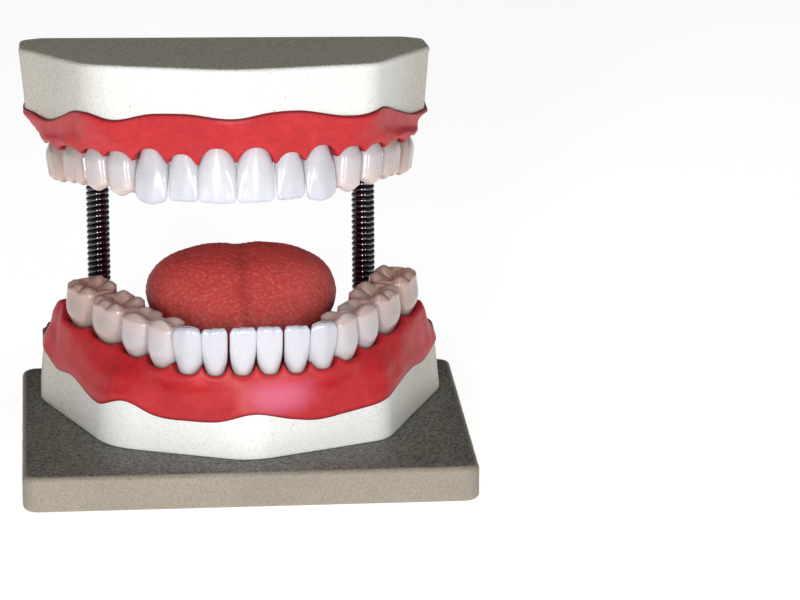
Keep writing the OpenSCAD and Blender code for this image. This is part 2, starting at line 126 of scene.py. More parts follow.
class Mat:
    """A small helper around one node tree."""

    def __init__(self, name):
        self.m = bpy.data.materials.new(name)
        self.m.use_nodes = True
        self.nodes = self.m.node_tree.nodes
        self.bsdf = self.nodes["Principled BSDF"]
        self.coord = self.node("TexCoord").outputs["Object"]

    def node(self, kind, **inputs):
        """A new node; each input is a value, a colour or another node's socket."""
        n = self.nodes.new("ShaderNode" + kind)
        for key, value in inputs.items():
            self.feed(n.inputs[key], value)
        return n

    def feed(self, sock, value):
        if isinstance(value, bpy.types.NodeSocket):
            self.m.node_tree.links.new(value, sock)
        elif sock.type == "RGBA" and len(value) == 3:
            sock.default_value = (*value, 1)
        else:
            sock.default_value = value

    def set(self, **inputs):
        for key, value in inputs.items():
            self.feed(self.bsdf.inputs[key.replace("_", " ")], value)

    def noise(self, scale, detail=3.0, rough=0.55):
        n = self.node("TexNoise", Vector=self.coord, Scale=scale, Detail=detail, Roughness=rough)
        return n.outputs["Fac"]

    def voronoi(self, scale):
        return self.node("TexVoronoi", Vector=self.coord, Scale=scale).outputs["Distance"]

    def attribute(self, name):
        n = self.node("Attribute")
        n.attribute_name = name
        return n.outputs["Fac"]

    def ramp(self, fac, stops, smooth=False):
        n = self.node("ValToRGB", Fac=fac)
        ramp = n.color_ramp
        if smooth:
            ramp.interpolation = "EASE"
        for stop, (place, grey) in zip(ramp.elements, stops):
            stop.position = place
            stop.color = (grey, grey, grey, 1)
        return n.outputs["Color"]

    def mix(self, fac, a, b):
        n = self.node("Mix")
        n.data_type = "RGBA"
        n.blend_type = "MIX"
        for index, value in ((0, fac), (6, a), (7, b)):
            self.feed(n.inputs[index], value)
        return n.outputs[2]

    def tint(self, base, color, fac, low, high, smooth=False):
        """Lay a colour over base by a factor's ramp; low and high are (place, amount)."""
        return self.mix(self.ramp(fac, [low, high], smooth), base, color)

    def math(self, op, a, b=0.0, clamp=False):
        n = self.node("Math")
        n.operation = op
        n.use_clamp = clamp
        self.feed(n.inputs[0], a)
        self.feed(n.inputs[1], b)
        return n.outputs[0]

    def vector(self, op, a, b=(0, 0, 0)):
        n = self.node("VectorMath")
        n.operation = op
        self.feed(n.inputs[0], a)
        self.feed(n.inputs[1], b)
        return n.outputs["Value" if op in ("DOT_PRODUCT", "LENGTH") else "Vector"]

    def axis(self, which):
        n = self.node("SeparateXYZ")
        self.feed(n.inputs[0], self.coord)
        return n.outputs[which]

    def finish(self, base, rough_by, rough_lo, rough_hi):
        """Connect the colour, and the roughness that follows a noise."""
        rough = self.ramp(rough_by, [(0.3, rough_lo), (0.7, rough_hi)])
        self.set(Base_Color=base, Roughness=rough)

    def bump(self, height, strength, distance):
        n = self.node("Bump", Height=height, Strength=strength, Distance=distance)
        normal = self.bsdf.inputs["Normal"]
        if normal.is_linked:
            self.feed(n.inputs["Normal"], normal.links[0].from_socket)
        self.feed(normal, n.outputs["Normal"])


def srgb(*rgb):
    """A linear colour from 0 to 255 display values."""
    parts = [c / 255.0 for c in rgb]
    return tuple(c / 12.92 if c <= 0.04045 else ((c + 0.055) / 1.055) ** 2.4 for c in parts)


def stone_material(name, light, mid, dark, speck, top_plane=None):
    m = Mat(name)
    grain = m.noise(900, 2, 0.7)
    fine = m.noise(2600, 1, 0.5)
    base = m.tint(light, mid, m.noise(14, 4), (0.3, 0.0), (0.7, 1.0))
    base = m.tint(base, dark, grain, (0.36, 0.4), (0.56, 0.0))
    base = m.tint(base, speck, fine, (0.33, 0.3), (0.46, 0.0))
    # painted shade: the side facets are greyer and darker than the trimmed front
    beside = m.math("MULTIPLY", m.math("ABSOLUTE", m.axis("X")), 5.0, True)
    side_shade = m.tint(srgb(150, 138, 118), srgb(200, 189, 168), grain, (0.36, 0.0), (0.6, 1.0))
    base = m.tint(base, side_shade, beside, (0.34, 0.0), (0.50, 0.62), True)
    if top_plane:
        # painted shade: the upper side is greyer and darker than the trimmed sides, with its own speckle
        normal, offset = top_plane
        height = m.vector("DOT_PRODUCT", m.coord, normal)
        above = m.math("MULTIPLY", m.math("SUBTRACT", height, offset - 0.002), 500.0, True)
        cloud = m.noise(640, 2, 0.6)
        block_top_shade = m.tint(srgb(148, 145, 127), srgb(216, 212, 192), cloud, (0.36, 0.0), (0.62, 1.0))
        block_top_shade = m.tint(block_top_shade, srgb(112, 110, 94), fine, (0.36, 0.5), (0.52, 0.0))
        base = m.tint(base, block_top_shade, above, (0.55, 0.0), (0.9, 1.0), True)
    pits = m.voronoi(130)
    base = m.tint(base, speck, pits, (0.03, 0.8), (0.07, 0.0))
    m.finish(base, grain, 0.5, 0.72)
    m.bump(grain, 0.22, 0.0004)
    m.bump(m.ramp(pits, [(0.03, 0.0), (0.08, 1.0)]), 0.35, 0.0005)
    m.bump(m.noise(60, 3), 0.12, 0.001)
    return m.m


def plate_material():
    m = Mat("plate_hammered")
    grain = m.noise(700, 2.5, 0.75)
    base = m.tint(srgb(152, 143, 128), srgb(141, 132, 118), m.noise(9, 3), (0.35, 0.0), (0.7, 1.0))
    base = m.tint(base, srgb(118, 110, 98), grain, (0.38, 0.55), (0.58, 0.0))
    base = m.tint(base, srgb(188, 180, 166), m.noise(1900, 1.5, 0.6), (0.55, 0.0), (0.72, 0.4))
    base = m.tint(base, srgb(60, 54, 48), m.voronoi(42), (0.018, 0.85), (0.035, 0.0))
    # painted shade: the top is greyer and darker than the cast edges
    height = m.math("MULTIPLY", m.axis("Z"), 1000.0 / 30.0, True)
    plate_top_shade = m.tint(srgb(58, 59, 54), srgb(126, 127, 116), m.noise(640, 2, 0.6), (0.36, 0.0), (0.62, 1.0))
    base = m.tint(base, plate_top_shade, height, (0.672, 0.0), (0.694, 1.0))
    m.finish(base, grain, 0.42, 0.66)
    m.bump(grain, 0.4, 0.0006)
    m.bump(m.noise(220, 2), 0.25, 0.0008)
    return m.m


def gum_material(name, highlight_at=None):
    m = Mat(name)
    small = m.noise(260, 2)
    base = m.tint(srgb(180, 28, 36), srgb(196, 46, 50), m.noise(22, 3), (0.3, 0.0), (0.72, 1.0))
    base = m.tint(base, srgb(144, 16, 24), small, (0.35, 0.3), (0.6, 0.0))
    base = m.tint(base, srgb(200, 66, 78), m.noise(16, 2, 0.4), (0.62, 0.0), (0.85, 0.3))
    if highlight_at:
        # painted highlight: a pink sheen on the front of the ridge
        off = m.vector("MULTIPLY", m.vector("SUBTRACT", m.coord, highlight_at), (1.0, 1.6, 2.2))
        wobble = m.math("ADD", m.vector("LENGTH", off), m.math("MULTIPLY", m.noise(90, 3), 0.012))
        base = m.tint(base, srgb(226, 124, 158), wobble, (0.01, 0.55), (0.036, 0.0), True)
    # the deep attribute lays painted shade round the necks and along the border
    base = m.mix(m.attribute("deep"), base, srgb(84, 12, 22))
    m.finish(base, m.noise(70, 3), 0.4, 0.56)
    m.set(Coat_Weight=0.05, Coat_Roughness=0.3, Specular_IOR_Level=0.3)
    m.bump(small, 0.12, 0.0006)
    m.bump(m.noise(1100, 1), 0.05, 0.0003)
    return m.m


def tongue_material():
    m = Mat("tongue_red")
    cells = m.voronoi(420)
    fine = m.noise(800, 2)
    base = m.tint(srgb(224, 80, 76), srgb(232, 98, 94), m.noise(26, 3), (0.3, 0.0), (0.7, 1.0))
    base = m.tint(base, srgb(244, 134, 122), cells, (0.2, 0.5), (0.55, 0.0))
    base = m.tint(base, srgb(150, 36, 34), fine, (0.3, 0.4), (0.55, 0.0))
    # the deep attribute lays painted shade along the middle groove and round the base
    base = m.mix(m.attribute("deep"), base, srgb(104, 20, 22))
    m.finish(base, fine, 0.42, 0.6)
    m.bump(m.ramp(cells, [(0.0, 1.0), (0.6, 0.0)]), 0.3, 0.0006)
    m.bump(fine, 0.15, 0.0003)
    return m.m


def enamel_material(name, body, edge, neck, stain, back, aged):
    m = Mat(name)
    height = m.attribute("height")
    fine = m.noise(700, 2)
    base = m.tint(body, neck, height, (0.0, 0.8), (0.24, 0.0), True)
    base = m.tint(base, edge, height, (0.72, 0.0), (1.0, 0.7), True)
    base = m.tint(base, srgb(222, 224, 232), m.noise(60, 3), (0.4, 0.0), (0.75, 0.3))
    base = m.tint(base, stain, fine, (0.3, 0.12), (0.5, 0.0))
    # the rim layer mixes in the back colour as painted shade, tan on the back teeth, on the crowns' sides, biting
    # edges and chewing hollows
    for layer, color in (("age", aged), ("rim", back), ("fissure", stain)):
        base = m.mix(m.attribute(layer), base, color)
    m.finish(base, m.noise(120, 2), 0.16, 0.28)
    m.set(Coat_Weight=0.35, Coat_Roughness=0.08, IOR=1.55)
    m.bump(m.noise(180, 2), 0.1, 0.0005)
    m.bump(fine, 0.04, 0.0003)
    return m.m


def metal_material(name, color, rough_lo, rough_hi, bump=0.08):
    m = Mat(name)
    streak = m.noise(180, 3)
    base = m.tint(color, tuple(c * 0.82 for c in color), streak, (0.35, 0.0), (0.7, 1.0))
    base = m.tint(base, tuple(c * 0.6 for c in color), m.noise(30, 2), (0.55, 0.0), (0.8, 0.35))
    m.finish(base, m.noise(340, 2), rough_lo, rough_hi)
    m.set(Metallic=1.0)
    m.bump(streak, bump, 0.0002)
    return m.m


def cork_material():
    m = Mat("cork")
    cells = m.voronoi(380)
    fine = m.noise(900, 3)
    base = m.tint(srgb(150, 108, 66), srgb(104, 70, 40), cells, (0.1, 0.0), (0.6, 1.0))
    base = m.tint(base, srgb(70, 44, 24), fine, (0.35, 0.5), (0.55, 0.0))
    m.finish(base, fine, 0.8, 0.95)
    m.bump(cells, 0.4, 0.0006)
    return m.m


HINGE = Vector((0, HINGE_Y, HINGE_Z))
TOP_NORMAL = (Vector(tilted([TOP_FALL, HINGE_Y, HINGE_Z + 1.0])) - HINGE).normalized()
TOP_POINT = Vector(tilted([UPPER_MID - TOP_LEFT, 0, UPPER_TOP])) * MM
SPECK = srgb(160, 150, 134)
STONE = stone_material("stone_cast", srgb(246, 247, 246), srgb(239, 239, 237), srgb(212, 210, 203), SPECK)
STONE_UPPER = stone_material("stone_cast_upper", srgb(236, 237, 236), srgb(228, 228, 225),
                             srgb(203, 200, 192), SPECK, (tuple(TOP_NORMAL), TOP_NORMAL.dot(TOP_POINT)))
PLATE = plate_material()
GUM_UPPER = gum_material("gum_red")
# the lower gum carries a painted highlight on the front of its ridge
GUM_LOWER = gum_material("gum_red_lower", (0.0175, -0.0695, 0.0535))
TONGUE = tongue_material()
ENAMEL_FRONT = enamel_material("enamel_front", srgb(206, 205, 213), srgb(198, 203, 218), srgb(200, 188, 186),
                               srgb(166, 148, 142), srgb(176, 168, 174), srgb(150, 148, 152))
ENAMEL_BACK = enamel_material("enamel_back", srgb(196, 193, 199), srgb(206, 196, 194), srgb(190, 174, 166),
                              srgb(158, 110, 90), srgb(232, 190, 168), srgb(158, 122, 100))
CHROME = metal_material("spring_chrome", srgb(104, 104, 110), 0.05, 0.12)
ZINC = metal_material("zinc_steel", srgb(176, 178, 182), 0.28, 0.45, 0.15)
CORK = cork_material()

# -------- mesh kit


def plain_mesh(name, verts, faces):
    mesh = bpy.data.meshes.new(name)
    mesh.from_pydata([tuple(v) for v in verts], [], faces)
    mesh.update()
    return mesh


def make(name, verts, faces, mat, slot, node, attrs=None, matrix=None):
    """A smooth visual piece in mm that replaces one solid node."""
    mesh = plain_mesh(name, np.asarray(verts, float) * MM, faces)
    for key, values in (attrs or {}).items():
        layer = mesh.attributes.new(key, "FLOAT", "POINT")
        layer.data.foreach_set("value", np.asarray(values, np.float32))
    piece = bpy.data.objects.new(name, mesh)
    bpy.context.scene.collection.objects.link(piece)
    if matrix is not None:
        piece.matrix_world = matrix
    mesh.materials.append(mat)
    mesh.polygons.foreach_set("use_smooth", [True] * len(mesh.polygons))
    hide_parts(node)
    return piece


def loft(rings):
    """Closed loops of equal length joined into a closed skin with a fan at each end."""
    n = len(rings[0])
    verts = [p for ring in rings for p in ring]
    faces = []
    for r in range(len(rings) - 1):
        for k in range(n):
            a, b = r * n + k, r * n + (k + 1) % n
            faces.append((a, b, b + n, a + n))
    first, last = len(verts), len(verts) + 1
    verts += [np.mean(rings[0], axis=0), np.mean(rings[-1], axis=0)]
    end = (len(rings) - 1) * n
    for k in range(n):
        faces.append((first, (k + 1) % n, k))
        faces.append((last, end + k, end + (k + 1) % n))
    return np.array(verts, float), faces


def weld(piece, distance=0.00002):
    """Merge doubled points, drop flat faces and turn the skin outwards."""
    mesh = bmesh.new()
    mesh.from_mesh(piece.data)
    bmesh.ops.remove_doubles(mesh, verts=mesh.verts, dist=distance)
    bmesh.ops.dissolve_degenerate(mesh, edges=mesh.edges, dist=distance * 0.1)
    bmesh.ops.recalc_face_normals(mesh, faces=mesh.faces)
    mesh.to_mesh(piece.data)
    mesh.free()


def level(loop, z):
    """A flat loop at height z, or with a height for each of its points."""
    return np.c_[loop, np.broadcast_to(z, len(loop))]


def smoothstep(a, b, x):
    t = np.clip((x - a) / (b - a), 0, 1)
    return t * t * (3 - 2 * t)


def gauss(x, width):
    return np.exp(-(x / width) ** 2)


def resample(points, count):
    """A closed outline as a number of points at equal distances."""
    closed = np.vstack([points, points[:1]])
    along = np.r_[0, np.cumsum(np.linalg.norm(np.diff(closed, axis=0), axis=1))]
    s = np.linspace(0, along[-1], count, endpoint=False)
    return np.stack([np.interp(s, along, closed[:, 0]), np.interp(s, along, closed[:, 1])], -1)


# -------- outline of a jaw block
CORNERS = np.array([[0, -76.5], [75, -47], [110, 37], [110, 77], [99, BACK_FACE], [-99, BACK_FACE],
                    [-110, 77], [-110, 37], [-75, -47]], float)
CORNER_RADII = [34, 20, 20, 14, 8, 8, 14, 20, 36]


def rounded_outline(count):
    points = []
    for i, radius in enumerate(CORNER_RADII):
        before, corner, after = CORNERS[i - 1], CORNERS[i], CORNERS[(i + 1) % len(CORNERS)]
        u = (before - corner) / np.linalg.norm(before - corner)
        v = (after - corner) / np.linalg.norm(after - corner)
        half = math.acos(np.clip(u @ v, -1, 1)) / 2
        reach = radius / math.tan(half)
        centre = corner + (u + v) / np.linalg.norm(u + v) * radius / math.sin(half)
        start, end = (math.atan2(*(corner + side * reach - centre)[::-1]) for side in (u, v))
        sweep = (end - start + math.pi) % (2 * math.pi) - math.pi
        for k in range(13):
            angle = start + sweep * k / 12
            points.append(centre + radius * np.array([math.cos(angle), math.sin(angle)]))
    return resample(np.array(points), count)


OUTLINE = rounded_outline(480)
UPPER_OUTLINE = OUTLINE * np.array([UPPER_WIDE, 1.0])


def outline_hit(px, py, dx, dy, outline, shift):
    """Where a ray from inside meets a jaw block's outline on the gum side."""
    a = outline * DRAFT + np.array(shift)
    edge = np.roll(a, -1, axis=0) - a
    den = dx * edge[:, 1] - dy * edge[:, 0]
    den = np.where(abs(den) < 1e-9, 1e-9, den)
    t = ((a[:, 0] - px) * edge[:, 1] - (a[:, 1] - py) * edge[:, 0]) / den
    s = ((a[:, 0] - px) * dy - (a[:, 1] - py) * dx) / den
    good = (t > 0) & (s >= -1e-6) & (s <= 1 + 1e-6)
    t = np.where(good, t, 0.0).max()
    return px + dx * t, py + dy * t


def smooth_height(points):
    """Height of a gum's edge round the jaw, from its crests and hollows, as a smooth curve."""
    ang, z = np.array(points, float).T
    slope = np.gradient(z, ang)

    def height(x, y):
        a = np.clip(np.degrees(np.arctan2(x, 10.0 - np.asarray(y))), ang[0], ang[-1])
        i = np.clip(np.searchsorted(ang, a, "right") - 1, 0, len(ang) - 2)
        span = ang[i + 1] - ang[i]
        t = (a - ang[i]) / span
        start = (2 * t ** 3 - 3 * t ** 2 + 1) * z[i] + (t ** 3 - 2 * t ** 2 + t) * span * slope[i]
        return start + (3 * t ** 2 - 2 * t ** 3) * z[i + 1] + (t ** 3 - t ** 2) * span * slope[i + 1]

    return height


# crests and hollows of each gum's edge: degrees round the jaw from the front, and height in mm
lower_edge = smooth_height([(-180, 45.5), (-150, 46), (-125, 48), (-103, 49.5), (-96, 44.5), (-85, 46),
                            (-61, 41), (-48, 47), (-38, 41.2), (-24, 39.7), (-13, 40.3), (2, 45.5),
                            (16, 40.7), (26, 38.2), (39, 39.5), (58, 43.5), (82, 47), (92, 45), (103, 49), (125, 48),
                            (150, 46), (180, 45.5)])
upper_edge = smooth_height([(-180, 184), (-150, 181), (-125, 178), (-99, 179), (-87, 176.6), (-76, 180),
                            (-64, 185.3), (-55, 185.6), (-45, 182.7), (-32, 186.3), (-20, 186.6), (2, 184.7),
                            (13, 186.8), (24, 187), (46, 182.2), (60, 184.6), (75, 180), (93, 174.8),
                            (125, 180), (150, 183), (180, 184)])

# -------- arches


class Arch:
    """Arcs (radius, degrees) from the midline out, and the width, depth and height of each tooth."""

    def __init__(self, arcs, mid, front, turn, widths, depths, heights):
        self.arcs = arcs
        self.turn = math.radians(turn)
        self.mid, self.front = mid, front
        self.widths, self.depths, self.heights = widths, depths, heights
        self.starts = np.r_[0, np.cumsum(widths)]
        self.end = self.starts[-1]

    def at(self, s):
        """x, y, heading and side at signed distance s from the midline."""
        side = -1.0 if s < 0 else 1.0
        s = abs(s)
        x = y = heading = 0.0
        for radius, turn in self.arcs:
            step = min(s, radius * math.radians(turn))
            after = heading + step / radius
            x += radius * (math.sin(after) - math.sin(heading))
            y += radius * (math.cos(heading) - math.cos(after))
            heading = after
            s -= step
            if s <= 0:
                break
        x = (x + math.cos(heading) * s) * side
        y += math.sin(heading) * s
        c, sn = math.cos(self.turn), math.sin(self.turn)
        return x * c - y * sn + self.mid, x * sn + y * c - self.front, side * heading + self.turn, side

    def centre(self, i):
        return (self.starts[i] + self.starts[i + 1]) / 2

    def local(self, s):
        """Which tooth is at |s|, and where across it, from -1 to 1."""
        i = int(np.clip(np.searchsorted(self.starts, abs(s), "right") - 1, 0, 6))
        return i, float(np.clip((abs(s) - self.centre(i)) / (self.widths[i] / 2), -1, 1))


LOWER = Arch([(180, 9), (40, 42), (320, 14), (4000, 0.1), (60, 22)], 4.1, 66.9, 2.0,
             [14.6, 14.4, 17, 20, 23, 28.8, 27.6], [14, 15, 17.5, 18.5, 20.5, 25.5, 25],
             [26, 25.5, 26, 25, 22.5, 21.5, 21.5])
UPPER = Arch([(70, 20), (230, 10), (62, 34), (9000, 0.1), (90, 14), (60, 12)], -4.7, 66.5, 0.0,
             [21, 17, 19.5, 18, 17.5, 26, 24.5], [17, 15.5, 19, 21.5, 22, 26.5, 25.5],
             [28.7, 27.8, 29.5, 25, 22.5, 20.5, 20.5])


def catmull(points, per):
    """Catmull-Rom through control points: array (..., K, 3) to (..., M, 3)."""
    before = 2 * points[..., :1, :] - points[..., 1:2, :]
    after = 2 * points[..., -1:, :] - points[..., -2:-1, :]
    p = np.concatenate([before, points, after], -2)
    out = []
    for k in range(points.shape[-2] - 1):
        a, b, c, d = (p[..., k + j, :] for j in range(4))
        for t in np.arange(per[k]) / per[k]:
            square = (2 * a - 5 * b + 4 * c - d) * t * t
            out.append(0.5 * (2 * b + (c - a) * t + square + (3 * b - a - 3 * c + d) * t ** 3))
    out.append(points[..., -1, :])
    return np.stack(out, -2)


# -------- gums
# heights of the gum between neighbouring teeth, from the midline out, and of its edge at each tooth
PAPILLA_LOWER = [5.2, 5.2, 5.0, 4.6, 3.6, 2.8, 2.4, 1.6]
PAPILLA_UPPER = [8.4, 9.6, 8.4, 7.2, 5.4, 4.4, 3.8, 2.0]
NECK_LOWER = [0.0, 0.0, 0.2, 0.6, 0.4, 0.2, 0.0]
NECK_UPPER = [0.0, 3.0, 0.2, 1.6, 1.0, 0.4, 0.2]
# heights of the heel of gum behind the last tooth, by y
HEEL_Y = [10, 24, 32, 42, 52, 62, 86]
HEEL_LOWER = [72.5, 74.6, 74.6, 70.5, 61.0, 55.0, 53.5]
HEEL_UPPER = [46.5, 46.0, 44.5, 41.5, 39.5, 38.5, 38.0]
# how many steps the section takes between its control points, which of these the necks lie in,
# and how far the heel pulls each control point down
SECTION_STEPS = [2, 3, 3, 4, 5, 5, 4, 4, 3, 3, 3, 3, 3, 4, 4, 4]
NECK_FROM, NECK_TO = sum(SECTION_STEPS[:8]) - 1, sum(SECTION_STEPS[:12]) + 2
HEEL_DROP = {5: 1.5, 6: 2.0, 7: 1.6, 8: 1.2, 9: 0.2, 10: 1.0, 11: 6.0, 12: 9.5, 13: 9.0, 14: 2.0}
FLOOR_COLUMNS = 22


def gum_section(arch, upper, s, total, back_y):
    """Control points of the gum's section at signed s, outside to inside. Heights grow to the crowns."""
    if upper:
        papillae, necks, power, heel_z = PAPILLA_UPPER, NECK_UPPER, 2.6, HEEL_UPPER
        outline, shift = UPPER_OUTLINE, (UPPER_MID, -UPPER_FORWARD)
        bite, slope, floor = UPPER_TOP - UPPER_BITE, UPPER_SLOPE, UPPER_TOP - ROOF_Z
        heel_wall, left_lift = 6.5, 1.5
    else:
        papillae, necks, power, heel_z = PAPILLA_LOWER, NECK_LOWER, 3.4, HEEL_LOWER
        outline, shift = OUTLINE, (0, 0)
        bite, slope, floor = LOWER_BITE, LOWER_SLOPE, FLOOR_Z
        heel_wall, left_lift = 9.0, 5.0
    x, y, heading, side = arch.at(s)
    s = abs(s)
    heel = float(smoothstep(arch.end - 3, arch.end + 9, s))
    closing = float(smoothstep(arch.end + 10, total - 4, s))
    i, across = arch.local(s)
    # near the back the section turns to lie along X so that it closes on the back face
    out = np.array([math.sin(heading) * (1 - closing) + side * closing, -math.cos(heading) * (1 - closing)])
    out /= math.hypot(*out)
    wx, wy = outline_hit(x - out[0] * 30, y - out[1] * 30, *out, outline, shift)
    wall = (wx - x) * out[0] + (wy - y) * out[1]
    wall += (heel_wall - wall) * heel
    if not upper:
        wall += 4.0 * float(smoothstep(48, 64, wy))
    outer = np.array([wx, wy])
    tooth = outer - out * wall
    x, y = tooth
    wall = max(wall, 0.4)
    border = UPPER_TOP - float(upper_edge(wx - UPPER_MID, wy)) if upper else float(lower_edge(wx, wy))
    tip = papillae[i + 1] if s > arch.centre(i) or i == 0 and s >= arch.centre(0) else papillae[i]
    between = abs(across) ** power * (1 - heel)
    swell = math.cos(abs(across) * math.pi / 2) ** 1.5 * (1 - heel)
    ridge = min(y, back_y)
    lift = (-1.5 if side > 0 else left_lift) * float(smoothstep(14, 30, ridge) * smoothstep(66, 54, ridge))
    plane = bite + math.tan(slope) * (y + arch.front)
    top = plane * (1 - heel) + (float(np.interp(ridge, HEEL_Y, heel_z)) + lift) * heel
    margin = top + 0.2 + necks[i] * (1 - between) * (1 - heel) + tip * between
    heel_depth = abs(x - SPRING_X[int(side > 0)]) + SPRING_R + 7.0
    centres = [0] + [arch.centre(k) for k in range(7)]
    depth = float(np.interp(s, centres, [arch.depths[0]] + arch.depths))
    depth += (heel_depth - depth) * float(smoothstep(arch.end - 4, arch.end + 30, s))
    rise = top - border
    dip = (1 - between) * (1 - heel)
    near = min(1.0, wall / 12.0)
    full = 0.0 if upper else -1.5 * heel - 2.5 * float(smoothstep(48, 64, y))
    lip = 1.0 - 0.75 * heel

    def point(share, push, z):
        """A point from the tooth's line (0) to the block's wall (1), pushed outwards, at height z."""
        return (*(outer * share + tooth * (1 - share) + out * push), z)

    points = [
        point(1, -1.2, border - 0.2),
        point(1, 0.25 * lip, border + 0.05),
        point(1, 0.75 * lip, border + 1.1),
        point(0.97, 0.4 + 0.7 * near + full, border + 0.16 * rise + 0.6),
        point(0.76, (1.7 + 0.3 * swell) * near + full, border + 0.37 * rise),
        point(0.50, (2.4 + 0.8 * swell) * near + full, border + 0.60 * rise),
        point(0, min(5.2, 1.6 + 0.2 * wall) + 0.8 * swell * near, border + 0.83 * rise),
        point(0, 1.7 + 0.4 * swell - 0.9 * between, margin - 1.5 - 0.4 * between),
        point(0, 0.45 - 1.5 * between, margin),
        point(0, -2.6 - 0.6 * between, margin - 1.2 * dip),
        point(0, -depth * 0.5, margin - 2.2 * dip + 0.8 * heel),
        point(0, 3.0 - depth, margin - 1.2 * dip),
        point(0, 1.6 * between - depth - 0.2, margin - 0.2),
        point(0, -depth - 2.2, margin - 2.4),
        point(0, -depth - 4.8 - 0.5 * swell, margin * 0.45 + floor * 0.55),
        point(0, -depth - 6.6, floor + 3.2),
        point(0, -depth - 10.5, floor + 0.2),
    ]
    for n, drop in HEEL_DROP.items():
        px, py, pz = points[n]
        z = pz - drop * heel
        points[n] = (px, py, max(z, min(floor + 0.6, pz)) if n > 9 else z)
    return points


def gum_grid(arch, upper, back_y):
    """The gum's outer and inner skin as a grid, and the number of its middle row."""
    total = arch.end
    while arch.at(total)[1] < back_y and total < 400:
        total += 0.25
    along = np.r_[np.linspace(0, arch.end, 250), np.linspace(arch.end, total, 36)[1:]]
    signed = np.r_[-along[::-1], along[1:]]
    rows = np.array([gum_section(arch, upper, s, total, back_y) for s in signed], float)
    rows[..., 1] = np.minimum(rows[..., 1], back_y)
    # keep the inner edge from crossing the midline near the front
    for row, s in zip(rows, signed):
        if abs(s) > 1e-9:
            side = -1 if s < 0 else 1
            row[:, 0] = arch.mid + side * np.maximum((row[:, 0] - arch.mid) * side, 0.0)
    grid = catmull(rows, SECTION_STEPS)
    grid[..., 1] = np.minimum(grid[..., 1], back_y)
    grid[1:-1] = grid[1:-1] * 0.6 + (grid[:-2] + grid[2:]) * 0.2
    grid[[0, -1], :, 1] = back_y
    return grid, len(signed) // 2


def palate(p, dome, span, mid):
    """A point on the roof of the mouth: a low vault with ridges across it and a seam along its middle."""
    off = abs(p[0] - mid)
    ridges = math.sin(p[1] * 0.62 + 2.2 * math.sin(off * 0.09)) * dome
    ridges *= smoothstep(-2, -28, p[1]) * smoothstep(1.0, 5.0, off)
    return (p[0], p[1], p[2] - min(span * 0.05, 1.6) * dome + 0.7 * ridges + 0.8 * gauss(off, 2.2))


def build_gum(name, arch, upper, node):
    back_y = BACK_FACE * DRAFT - (UPPER_FORWARD if upper else 0) - 0.6
    grid, mid = gum_grid(arch, upper, back_y)
    rows, columns = grid.shape[:2]
    verts = [tuple(p) for p in grid.reshape(-1, 3)]
    number = np.arange(rows * columns).reshape(rows, columns).tolist()
    faces = [(number[i][j], number[i][j + 1], number[i + 1][j + 1], number[i + 1][j])
             for i in range(rows - 1) for j in range(columns - 1)]
    # the floor or palate joins the two inner edges, and the hidden underside the two outer edges
    floor_rows, under_rows = [], []
    for k in range(mid + 1):
        left, right = mid - k, mid + k
        span = abs(grid[right, -1, 0] - grid[left, -1, 0])
        inner, under = [number[left][-1]], [number[left][0]]
        for q in range(1, FLOOR_COLUMNS):
            if k == 0:
                inner.append(inner[0])
                under.append(under[0])
                continue
            t = q / FLOOR_COLUMNS
            p, hidden = (grid[left, j] * (1 - t) + grid[right, j] * t for j in (-1, 0))
            dome = 1 - abs(2 * t - 1) ** 2.2
            inner.append(len(verts))
            verts.append(palate(p, dome, span, arch.mid) if upper else (p[0], p[1], p[2] - 0.15 * dome))
            under.append(len(verts))
            verts.append(tuple(hidden))
        floor_rows.append(inner + [number[right][-1]])
        under_rows.append(under + [number[right][0]])
    for k in range(mid):
        a, b = floor_rows[k:k + 2]
        c, d = under_rows[k:k + 2]
        for q in range(FLOOR_COLUMNS):
            faces.append((a[q], b[q], b[q + 1], a[q + 1]))
            faces.append((c[q + 1], d[q + 1], d[q], c[q]))
    # the flat back face, from its top line down to the underside at the same sideways position
    top_line = number[0] + floor_rows[-1][1:-1] + number[-1][::-1]
    bottom = np.array([verts[n] for n in under_rows[-1]])
    low_line = range(len(verts), len(verts) + len(top_line))
    for n in top_line:
        x = verts[n][0]
        verts.append((x, back_y, np.interp(x, bottom[:, 0], bottom[:, 2])))
    for k in range(len(top_line) - 1):
        faces.append((top_line[k], top_line[k + 1], low_line[k + 1], low_line[k]))
    verts = np.array(verts, float)
    # painted shade: darker round the necks and along the border
    shade = np.zeros((rows, columns))
    shade[:, NECK_FROM:NECK_TO] = 0.26
    shade[:, :5] = 0.75
    shade[:, 5] = 0.3
    deep = np.zeros(len(verts))
    deep[:rows * columns] = shade.reshape(-1)
    # springs come out of shallow dishes
    floor = UPPER_TOP - ROOF_Z if upper else FLOOR_Z
    for spring_x in SPRING_X:
        d = np.hypot(verts[:, 0] - spring_x, verts[:, 1] - HINGE_Y)
        dish = gauss(d - 8.6, 1.3) * 0.9 - (1 - smoothstep(6.2, 8.0, d)) * 2.2
        verts[:, 2] += np.where((verts[:, 2] > floor - 0.8) & (d < 12), dish, 0)
    # gentle hand-made unevenness
    for p in verts:
        p += np.array(noise.noise_vector(Vector(p * 0.045) + Vector((0, 0, 9 if upper else 0)))) * 0.35
    if upper:
        verts[:, 2] = UPPER_TOP - verts[:, 2]
        verts = tilted(verts)
        faces = [f[::-1] for f in faces]
    faces = [tuple(dict.fromkeys(f)) for f in faces]
    faces = [f for f in faces if len(f) >= 3]
    piece = make(name, verts, faces, GUM_UPPER if upper else GUM_LOWER, "gum", node, {"deep": deep})
    weld(piece)
    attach(piece, "upper_jaw" if upper else "base")


# -------- jaw blocks


def sharp_edges(piece, angle):
    piece.data.set_sharp_from_angle(angle=math.radians(angle))


